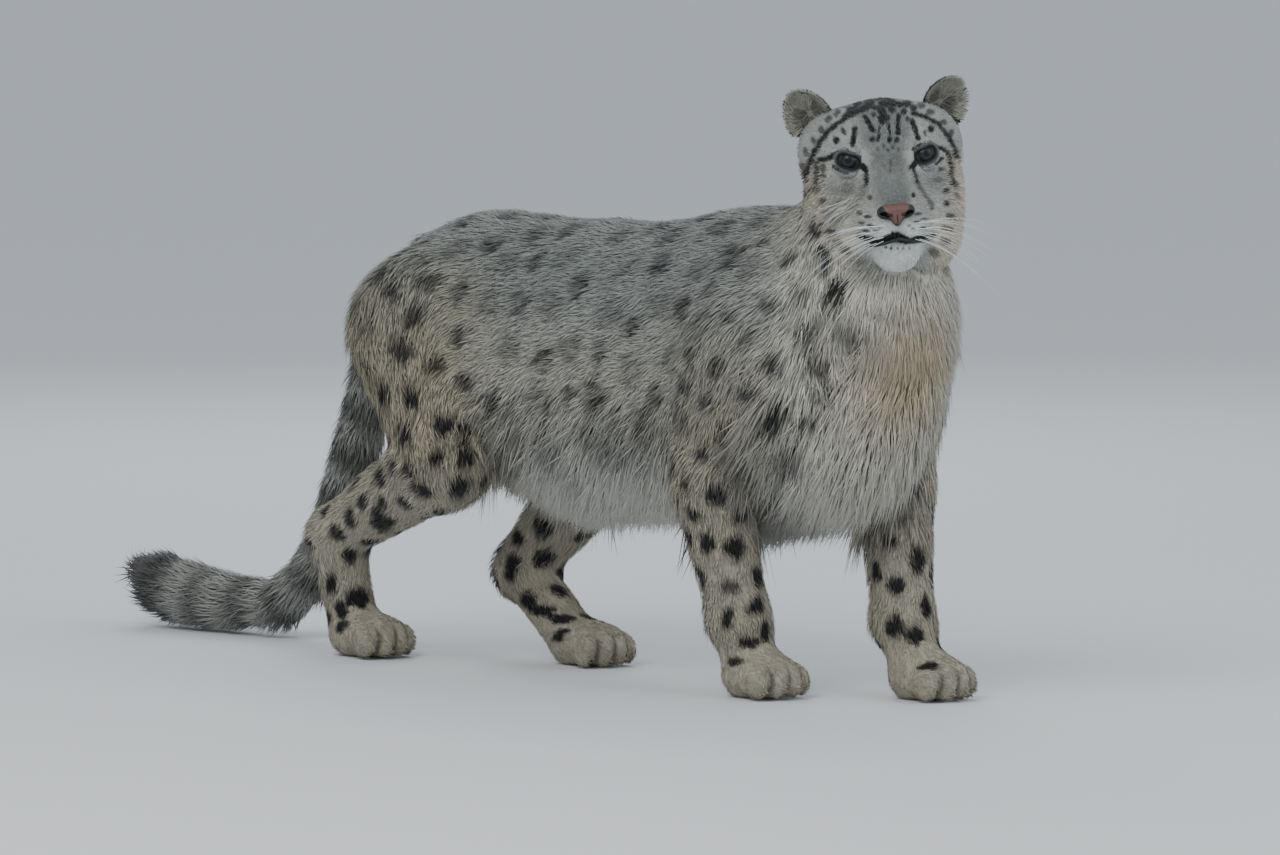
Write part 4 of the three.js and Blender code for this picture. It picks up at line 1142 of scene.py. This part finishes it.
# Tufts: thin closed blades of three sides that taper and bend along the coat's lie
def blades(root, n, way, length, width, lift, droop, colour, tip_colour, seed, rows=2):
    """Tufts as points, faces, colours and the number of points in each."""
    draw = np.random.default_rng(seed)
    count = len(root)
    yaw = draw.normal(0, 0.13, count) + 0.9 * (noise3(root, 55, 91) - 0.5)
    side = np.cross(way, n)
    way = unit(way * np.cos(yaw)[:, None] + side * np.sin(yaw)[:, None])
    side = unit(np.cross(way, n))
    length = length * draw.uniform(0.72, 1.22, count)
    width = width * draw.uniform(0.8, 1.25, count)
    lift = lift + draw.normal(0, 0.07, count)
    bend = draw.normal(0, 0.1, count)
    rings, shades = [], []
    shade = draw.uniform(0.9, 1.09, count)
    for r in range(rows):
        t = r / rows
        rise = lift * (t - 0.42 * t * t)
        centre = (root + way * (length * t)[:, None] + n * (length * rise - 1.2 * (r == 0))[:, None]
                  + side * (length * bend * t * t)[:, None])
        centre[:, 2] -= length * droop * t * t
        half_wide = width * (0.5 - 0.16 * t)
        thick = half_wide * 0.32
        reach = side * half_wide[:, None]
        rings += [centre - reach, centre + n * thick[:, None], centre + reach]
        # painted shade among the tufts: each tuft darker at its root, a little lighter toward its tip, times
        # its own random tone
        tint = (colour * (0.88 + 0.16 * t) + (tip_colour - colour) * t) * shade[:, None]
        shades += [tint] * 3
    tip = root + way * length[:, None] + n * (length * lift * 0.58)[:, None] + side * (length * bend)[:, None]
    tip[:, 2] -= length * droop
    rings.append(tip)
    shades.append(tip_colour * 1.06 * shade[:, None])
    points = np.stack(rings, 1)
    points[..., 2] = np.maximum(points[..., 2], TUFT_BOTTOM)
    colours = np.stack(shades, 1)
    each = len(rings)
    faces = [(0, 2, 1)]
    for r in range(rows - 1):
        a = 3 * r
        for k in range(3):
            m = (k + 1) % 3
            faces += [(a + k, a + m, a + 3 + m), (a + k, a + 3 + m, a + 3 + k)]
    last = 3 * (rows - 1)
    faces += [(last + k, last + (k + 1) % 3, each - 1) for k in range(3)]
    faces = np.array(faces)[None] + (np.arange(count) * each)[:, None, None]
    return points.reshape(-1, 3), faces.reshape(-1, 3), colours.reshape(-1, 3), each


PATCH = 0.003


def patch_uv(u, v, each):
    """A small patch for each tuft at its root's place on the unwrap."""
    count = len(u)
    uv = np.zeros((count, each, 2))
    rows = (each - 1) // 3
    for r in range(rows):
        for k in range(3):
            uv[:, 3 * r + k, 0] = (k - 1) * PATCH / 2
            uv[:, 3 * r + k, 1] = r / rows * PATCH
    uv[:, -1, 1] = PATCH
    place = np.stack([u, v], -1)[:, None]
    return np.clip(uv + place, 0, 1).reshape(-1, 2)


# Places for tufts: points drawn on the skin, as many for each patch as its part needs
skin_tris = np.concatenate([skin_quads[:, [0, 1, 2]], skin_quads[:, [0, 2, 3]]])


def drawn_roots(chosen, density, seed):
    """Points on the chosen triangles of the skin, with their normals; density is per square millimetre."""
    draw = np.random.default_rng(seed)
    tri = skin_tris[chosen]
    a, b, c = (skin_points[tri[:, k]] for k in range(3))
    area = np.linalg.norm(np.cross(b - a, c - a), axis=1) / 2
    share = area * np.broadcast_to(density, chosen.shape)[chosen]
    count = int(share.sum())
    which = np.searchsorted(np.cumsum(share), draw.uniform(0, share.sum(), count))
    which = np.clip(which, 0, len(tri) - 1)
    u, v = draw.uniform(0, 1, count), draw.uniform(0, 1, count)
    flip = u + v > 1
    u[flip], v[flip] = 1 - u[flip], 1 - v[flip]
    mix = np.stack([1 - u - v, u, v], 1)
    tri = tri[which]
    point = sum(skin_points[tri[:, k]] * mix[:, k:k + 1] for k in range(3))
    normal = unit(sum(skin_normals[tri[:, k]] * mix[:, k:k + 1] for k in range(3)))
    return point, normal


centres = skin_points[skin_tris].mean(1)
centre_parts = parts_at(centres.astype(np.float32))
centre_weights = near_weights(centre_parts)
centre_head = seen_from_head(centres)
leg_weight = sum(centre_weights[n] for n in LEGS) + sum(centre_weights[n + "_paw"] for n in LEGS)
trunk_weights = [centre_weights[n] for n in ("torso", "neck", "head", "tail")]
strongest = np.argmax(np.stack([*trunk_weights, leg_weight]), 0)
TORSO, NECK, HEAD, TAIL, LEG = range(5)

UV_EDGE = 0.01


def inset(share):
    return UV_EDGE + (1 - 2 * UV_EDGE) * share


def chart(p, axis_from, axis_to):
    """A place on an unwrap round an axis: how far along it, and the angle round it."""
    a, b = np.array(axis_from, float), np.array(axis_to, float)
    along = unit(b - a)
    across = unit(np.cross(along, (0.0, 0.3, 1.0)))
    third = np.cross(along, across)
    d = p - a
    u = d @ along / np.linalg.norm(b - a)
    v = np.arctan2(d @ across, d @ third) / (2 * np.pi) + 0.5
    return np.clip(inset(u), UV_EDGE, 1 - UV_EDGE), np.clip(inset(v), UV_EDGE, 1 - UV_EDGE)


def tail_chart(p):
    """A place on the tail's unwrap: how far along it, and the angle round it."""
    _, share, way = tail_nearest(p.astype(np.float32))
    side = np.cross(way, (0, 1, 0))
    nearest = np.stack([np.interp(share, TAIL_AT, TAIL_POINTS[:, k]) for k in range(3)], 1)
    d = p - nearest
    v = np.arctan2(dot(d, side), d[:, 1]) / (2 * np.pi) + 0.5
    return inset(share), inset(v)


def leg_chart(p, pair):
    """The two legs of a pair side by side, each unwrapped round its own bones."""
    u, v = np.zeros(len(p)), np.zeros(len(p))
    for k, side in enumerate(("right", "left")):
        leg = LEGS[f"{pair}_{side}"]
        mine = (p[:, 1] < 0) if side == "right" else (p[:, 1] >= 0)
        line = np.array([leg["hip"], leg["knee"], leg["ankle"], (*leg["paw"], 10)], float)
        x = np.interp(-p[mine, 2], -line[:, 2], line[:, 0])
        y = np.interp(-p[mine, 2], -line[:, 2], line[:, 1])
        v[mine] = 1 - np.clip(p[mine, 2] / 560, 0, 1)
        u[mine] = (np.arctan2(p[mine, 1] - y, p[mine, 0] - x) / (2 * np.pi) + 0.5 + k) / 2
    return inset(u), inset(v)


def make_coat(name, roots, sizes, uv_of, slot, seed):
    """One piece of the coat from its roots: sizes gives length, width, lift and droop at each root."""
    p, n = roots
    parts = parts_at(p.astype(np.float32))
    w = near_weights(parts)
    way = flow_of(p, n, w)
    length, width, lift, droop, keep = sizes(p, n)
    p, n, way = p[keep], n[keep], way[keep]
    length, width, lift, droop = (np.broadcast_to(v, keep.shape)[keep] for v in (length, width, lift, droop))
    root_colour, _ = coat_colour(p + way * (length * 0.3)[:, None], SPOTS)
    tip_colour, _ = coat_colour(p + way * (length * 0.75)[:, None], SPOTS)
    shape = (length, width, lift, droop)
    points, faces, colours, each = blades(p, n, way, *shape, root_colour, tip_colour, seed)
    uv = patch_uv(*uv_of(p), each)
    thing = mesh_object(name, placed(points), faces, colours, uv)
    return finished(thing, FUR, slot)


def trunk_sizes(p, n):
    z = p[:, 2]
    under = ramp(n[:, 2], -0.1, -0.6)
    low = np.maximum(ramp(z, 340, 240), under)
    front = ramp(p[:, 0], 290, 380) * ramp(z, 620, 560)
    length = 24 + 38 * low + 18 * front * (1 - low)
    width = 2.1 + 0.6 * low + 0.3 * front
    lift = 0.3 + 0.1 * low + 0.06 * front
    droop = 0.02 + 0.36 * low
    return length, width, lift, droop, np.ones(len(p), bool)


def neck_sizes(p, n):
    front = ramp(p[:, 0], 290, 360)
    return 30 + 12 * front, 2.0 + 0.3 * front, 0.31, 0.06 + 0.08 * front, np.ones(len(p), bool)


def leg_sizes(p, n):
    z = p[:, 2]
    paw = ramp(z, 95, 55)
    high = ramp(z, 170, 330)
    rear = ramp(-n[:, 0], 0.2, 0.8) * (1 - paw)
    length = 15 + 13 * high - 6.5 * paw + 5 * rear
    return length, 1.9 + 0.5 * high - 0.6 * paw, 0.3 + 0.1 * rear, 0.03, z > 3


def tail_sizes(p, n):
    return 38, 2.8, 0.5, 0.03, p[:, 2] > 2


def head_sizes(p, n):
    h = seen_from_head(p)
    forward, side, up = h[:, 0], np.abs(h[:, 1]), h[:, 2]
    cheek = ramp(side, 50, 86) * ramp(up, 30, -15) * ramp(forward, 20, -30)
    low = ramp(up, -92, -122) * ramp(forward, 40, 0)
    crown = ramp(forward, -40, -95)
    length = 7.0 + 9 * np.maximum(cheek, low) + 7 * crown * (1 - cheek)
    muzzle = ramp(forward, 18, 40)
    length = length - 2.5 * muzzle * (1 - low)
    width = 1.05 + 0.9 * np.maximum(np.maximum(cheek, low), crown)
    eye = np.stack([forward - EYE_FORWARD, side - EYE_SIDE, up - EYE_UP], 1)
    polar = np.arctan2(np.hypot(eye[:, 1], eye[:, 2]), eye[:, 0])
    turn = np.arctan2(eye[:, 2], eye[:, 1])
    open_to = lid_open(turn, 1)
    away = np.linalg.norm(eye, axis=1)
    near_eye = (away < 34) & (polar < open_to + np.radians(9))
    length = np.where(away < 30, np.minimum(length, 4.5), length)
    pad = (forward > 48) & (up > -70) & (up < -43) & (side < 23 - 0.9 * np.maximum(0, -52 - up))
    lift = 0.34 + 0.1 * np.maximum(cheek, low)
    return length, width, lift, 0.02 + 0.1 * low, ~near_eye & ~pad


def body_chart(p):
    return chart(p, (-520, 0, 400), (440, 0, 400))


def neck_chart(p):
    return chart(p, (240, 0, 400), (400, -20, 640))


def fore_chart(p):
    return leg_chart(p, "fore")


def hind_chart(p):
    return leg_chart(p, "hind")


def head_chart(p):
    before, behind = (from_head(np.array((forward, 0, 0), np.float32)) for forward in (80, -150))
    return chart(p, before, behind)


def coats():
    right, under, fore = centres[:, 1] < 0, centres[:, 2] < 262, centres[:, 0] > 20
    torso, legs = strongest == TORSO, strongest == LEG
    leg_density = 0.068 + 0.07 * ramp(centres[:, 2], 120, 60)
    head_density = 0.09 + 0.17 * ramp(centre_head[:, 0], -70, -30)
    # Each piece, where it grows, tufts per square millimetre, their sizes and unwrap, its slot and seeds
    pieces = (
        ("coat_side_right", torso & right & ~under, 0.066, trunk_sizes, body_chart, "fur_grey", 100, 200),
        ("coat_side_left", torso & ~right & ~under, 0.06, trunk_sizes, body_chart, "fur_grey", 101, 201),
        ("coat_belly", torso & under, 0.11, trunk_sizes, body_chart, "fur_grey", 102, 202),
        ("coat_neck", strongest == NECK, 0.19, neck_sizes, neck_chart, "fur_pale", 110, 210),
        ("coat_fore_legs", legs & fore, leg_density, leg_sizes, fore_chart, "fur_grey", 120, 220),
        ("coat_hind_right", legs & ~fore & right, leg_density, leg_sizes, hind_chart, "fur_grey", 121, 221),
        ("coat_hind_left", legs & ~fore & ~right, leg_density, leg_sizes, hind_chart, "fur_grey", 122, 222),
        ("coat_tail", strongest == TAIL, 0.1, tail_sizes, tail_chart, "fur_banded", 130, 230),
        ("coat_head", strongest == HEAD, head_density, head_sizes, head_chart, "fur_grey", 140, 240),
    )
    for name, chosen, density, sizes, uv_of, slot, root_seed, seed in pieces:
        make_coat(name, drawn_roots(chosen, density, root_seed), sizes, uv_of, slot, seed)


coats()


def ear_coat():
    """Hair of the ears: long and pale inside, short and dark behind, with a fringe on the rim."""
    draw = np.random.default_rng(51)
    parts = []
    for k, side in enumerate((-1, 1)):
        for outer, count, length, width in ((False, 1900, 15, 1.1), (True, 1900, 9, 1.5)):
            share = np.sqrt(draw.uniform(0.0005, 1, count))
            angle = draw.uniform(0, 2 * np.pi, count)
            root = ear_points(share, angle, outer)
            near_by = ear_points(share + 0.01, angle, outer)
            round_by = ear_points(share, angle + 0.02, outer)
            n = unit(np.cross(near_by - root, round_by - root))
            n *= np.sign(n[:, :1]) * (-1 if outer else 1)
            out = unit(near_by - root)
            way = unit(out + np.array((0.1, -0.35 * side, 0.5)) * (0.8 if not outer else 0.3))
            # painted shade: the ear's cup darkened toward its middle, except near its top, where shade falls
            # inside it
            cup_painted_shade = ramp(share, 0.75, 0.25)
            tint = np.tile(EAR_PALE, (count, 1)) * draw.uniform(0.8, 1.15, (count, 1))
            tint = mixed(tint, MARK_AND_SHADE_DARK * 1.6, 0.55 * cup_painted_shade * (np.sin(angle) < 0.6))
            if outer:
                tint = mixed(np.tile(BACK_GREY, (count, 1)), MARK_AND_SHADE_DARK, ramp(share, 0.55, 0.85))
            head_root = ear_to_head(root, side)
            inside = head_field(head_root.astype(np.float32)) < -4
            world = out_of_head(head_root)
            origin = ear_to_head(np.zeros((1, 3)), side)
            n = (ear_to_head(n, side) - origin) @ HEAD_TURN.T
            way = (ear_to_head(way, side) - origin) @ HEAD_TURN.T
            keep = ~inside
            lift = 0.45 if not outer else 0.25
            shape = [np.full(keep.sum(), float(value)) for value in (length, width, lift)]
            made = blades(world[keep], n[keep], way[keep], *shape, 0.0, tint[keep], tint[keep] * 1.1, 60 + k)
            u = (k * 2 + outer + 0.06 + 0.88 * (0.5 + 0.5 * share * np.cos(angle))) / 4
            v = 0.5 + 0.48 * share * np.sin(angle)
            parts.append((*made[:3], patch_uv(u[keep], v[keep], made[3])))
    points, faces, colours, uv = joined(parts)
    return finished(mesh_object("coat_ears", placed(points), faces, colours, uv), FUR, "fur_grey")


ear_coat()


LID_HAIRS = 1300


def lid_coat():
    """Short hair on the lids, from behind their dark rims out to the face."""
    draw = np.random.default_rng(55)
    parts = []
    for k, side in enumerate((-1, 1)):
        turn = draw.uniform(0, 2 * np.pi, LID_HAIRS)
        wide = draw.uniform(6, 40, LID_HAIRS)
        rise = np.interp(wide, [row[1] for row in LID_ROWS], [row[0] for row in LID_ROWS])
        polar = lid_open(turn, side) + np.radians(wide)
        root = on_eye(turn, polar, EYE_RADIUS + 0.4 + rise, side)
        n = unit(on_eye(turn, polar, EYE_RADIUS + 9, side) - on_eye(turn, polar, EYE_RADIUS, side))
        way = unit(on_eye(turn, polar + 0.05, EYE_RADIUS, side) - on_eye(turn, polar, EYE_RADIUS, side))
        tint, _ = coat_colour(root + way * 2, SPOTS)
        tint = mixed(tint, LIP_BLACK, 0.75 * ramp(wide, 12, 6))
        shape = (np.full(LID_HAIRS, 4.6), np.full(LID_HAIRS, 0.95), np.full(LID_HAIRS, 0.3))
        made = blades(root, n, way, *shape, 0.0, tint, tint * 1.05, 65 + k)
        uv = patch_uv((k + 0.04 + 0.92 * turn / (2 * np.pi)) / 2, 0.05 + wide / 45, made[3])
        parts.append((*made[:3], uv))
    points, faces, colours, uv = joined(parts)
    return finished(mesh_object("coat_lids", placed(points), faces, colours, uv), FUR, "fur_grey")


lid_coat()


# The eyes: a ball whose front is the iris, with the pupil at its middle
IRIS_EDGE = 37
PUPIL_EDGE = 14
IRIS_LIGHT = tone(33, 43, 45)
IRIS_DEEP = tone(11, 17, 19)
PUPIL_BLACK = tone(8, 10, 11)
EYE_WHITE = tone(60, 56, 52)


def eyeball(name, side):
    rows, around = 60, 72
    polar = np.radians(np.linspace(0.2, 150, rows))
    turn = np.linspace(0, 2 * np.pi, around, endpoint=False)
    points, colours = [], []
    draw = np.random.default_rng(71 + side)
    streak = np.convolve(np.tile(draw.uniform(-1, 1, around), 3), np.ones(2) / 2, "same")[around:2 * around]
    for a in polar:
        degrees = np.full(around, np.degrees(a))
        bulge = EYE_RADIUS - 0.6 + 1.1 * ramp(degrees[0], 42, 10)
        points.append(on_eye(turn, np.full(around, a), bulge, side))
        c = mixed(plain(IRIS_LIGHT, turn), IRIS_DEEP, ramp(degrees, PUPIL_EDGE, IRIS_EDGE))
        c = c * (1 + 0.22 * streak[:, None])
        # painted shadow of the upper lid: the iris darker toward its top
        c = c * (1 - 0.3 * ramp(np.sin(turn), -0.2, 0.9))[:, None]
        c = mixed(c, PUPIL_BLACK, ramp(degrees, PUPIL_EDGE + 1.5, PUPIL_EDGE - 1.5))
        c = mixed(c, PUPIL_BLACK, ramp(degrees, IRIS_EDGE - 5, IRIS_EDGE))
        colours.append(mixed(c, EYE_WHITE, ramp(degrees, IRIS_EDGE + 2, IRIS_EDGE + 6)))
    faces = ring_faces(rows, around, True)
    thing = mesh_object(name, placed(np.concatenate(points)), faces, np.concatenate(colours))
    return finished(thing, EYE, "eye", name.replace("eyeball", "eye"))


eyeball("eyeball_right", -1)
eyeball("eyeball_left", 1)


# The nose pad, with its nostrils, from a field of its own in the head's frame
def nose_field(h):
    m = both_sides(h)
    pad = blend(6, ball(h, (56, 0, -50), (15, 21, 7)), ball(m, (57, 11, -53), (14, 11.5, 8)),
                ball(h, (57, 0, -60), (13.5, 7, 10)))
    hole = blend(3, ball(m, (71, 9.5, -57), (8, 4.6, 2.6)), ball(m, (67, 15.5, -54), (7, 5, 2.2)))
    groove = ball(h, (74, 0, -66), (7, 0.9, 12))
    return np.maximum(np.maximum(pad, -hole), -groove)


def make_nose():
    lines = (line_steps(36, 0.8, 80), line_steps(-28, 0.8, 28), line_steps(-78, 0.8, -38))
    p = np.stack(np.meshgrid(*lines, indexing="ij"), -1).astype(np.float32)
    points, faces = surface_nets(nose_field(p.reshape(-1, 3)).reshape(p.shape[:3]), lines)
    side, up = np.abs(points[:, 1]), points[:, 2]
    wing = side - 0.55 * (up + 60)
    dark = np.maximum(ramp(wing, 6.5, 10), ramp(up, -66, -69))
    colour = mixed(plain(NOSE_PINK, points) * (0.85 + 0.3 * noise3(points, 5, 14))[:, None],
                   LIP_BLACK, dark)
    world = out_of_head(points)
    return finished(mesh_object("nose_pad", placed(world), faces, colour), NOSE, "nose_skin", "nose")


make_nose()


# Dark lips along the line of the mouth, and whiskers
MOUTH_HALF_WIDTH = 40


def mouth_height(side):
    s = np.abs(side) / MOUTH_HALF_WIDTH
    return -85 - 6 * np.sin(np.minimum(s * 1.9, 1.5))


def tube(line, radii, around=8):
    """A tube along a line of points, with the given radius at each point; its ends are left open."""
    line = np.array(line, float)
    way = unit(np.gradient(line, axis=0))
    side = unit(np.cross(way, np.array((0.31, 0.2, 0.93))))
    up = np.cross(side, way)
    angle = np.linspace(0, 2 * np.pi, around, endpoint=False)
    rings = (line[:, None] + side[:, None] * (radii[:, None] * np.cos(angle))[..., None]
             + up[:, None] * (radii[:, None] * np.sin(angle))[..., None])
    return rings.reshape(-1, 3), ring_faces(len(line), around)


def make_lips():
    sides = np.linspace(-MOUTH_HALF_WIDTH, MOUTH_HALF_WIDTH, 41)
    line = [(face_depth(side, mouth_height(side)) - 3.0, side, mouth_height(side)) for side in sides]
    line = out_of_head(line)
    radii = 2.1 * np.sqrt(np.maximum(1 - (sides / MOUTH_HALF_WIDTH) ** 4, 0.004))
    points, faces = tube(line, radii)
    thing = mesh_object("lips", placed(points), faces, plain(LIP_BLACK, points))
    return finished(thing, NOSE, "nose_skin")


make_lips()

WHISKERS_A_SIDE = 15
WHISKER_WHITE = tone(225, 230, 230)


def make_whiskers():
    draw = np.random.default_rng(81)
    parts = []
    for side in (-1, 1):
        for k in range(WHISKERS_A_SIDE):
            row, column = k % 4, k // 4
            across = 19 + 7 * column + draw.uniform(-1.5, 1.5)
            up = -68 - 6.5 * row + draw.uniform(-1, 1)
            root = np.array((face_depth(across, up) - 4, across * side, up))
            length = draw.uniform(55, 105)
            way = unit(np.array((0.15 - 0.16 * column, 1.0 * side, 0.1 - 0.14 * row + draw.normal(0, 0.05))))
            t = np.linspace(0, 1, 9)[:, None]
            line = root + way * length * t + np.array((-0.3, 0, -0.32 - 0.05 * row)) * length * t * t
            line = out_of_head(line)
            parts.append(tube(line, 0.42 * (1 - 0.85 * t[:, 0]), 5))
    points, faces = joined(parts)
    thing = mesh_object("whiskers", placed(points), faces, plain(WHISKER_WHITE, points))
    return finished(thing, FUR, "fur_pale")


make_whiskers()


# The studio: a plain pale floor and soft lights, each with its place, size, power and colour
FLOOR_COLOUR = (0.72, 0.74, 0.76, 1)
FLOOR_HALF_SIZE = 300
SKY_COLOUR, SKY_STRENGTH = (0.74, 0.79, 0.84, 1), 0.8
LIGHT_AIM = Vector((0.1, 0, 0.35))
LIGHTS = (
    ("key", (1.2, -3.4, 3.6), 2.6, 95, (1.0, 0.99, 0.97)),
    ("fill", (4.0, 1.2, 2.4), 3.0, 45, (0.93, 0.96, 1.0)),
    ("rim", (-3.2, 2.8, 3.2), 2.4, 55, (0.93, 0.96, 1.0)),
)


def studio():
    floor_material = material("floor", lambda tree, nodes, shader: None)
    shader = floor_material.node_tree.nodes["Principled BSDF"]
    shader.inputs["Base Color"].default_value = FLOOR_COLOUR
    shader.inputs["Roughness"].default_value = 0.9
    corners = np.array([(-1, -1, 0), (1, -1, 0), (1, 1, 0), (-1, 1, 0)], float) * FLOOR_HALF_SIZE
    floor = mesh_object("floor", corners, np.array([[0, 1, 2, 3]]), smooth=False)
    floor.data.materials.append(floor_material)
    world = bpy.data.worlds.new("studio")
    world.use_nodes = True
    world.node_tree.nodes["Background"].inputs["Color"].default_value = SKY_COLOUR
    world.node_tree.nodes["Background"].inputs["Strength"].default_value = SKY_STRENGTH
    bpy.context.scene.world = world
    for name, place, size, power, colour in LIGHTS:
        data = bpy.data.lights.new(name, "AREA")
        data.size, data.energy, data.color = size, power, colour
        light = bpy.data.objects.new(name, data)
        bpy.context.scene.collection.objects.link(light)
        light.location = place
        light.rotation_mode = "QUATERNION"
        light.rotation_quaternion = (LIGHT_AIM - Vector(place)).to_track_quat("-Z", "Y")


studio()
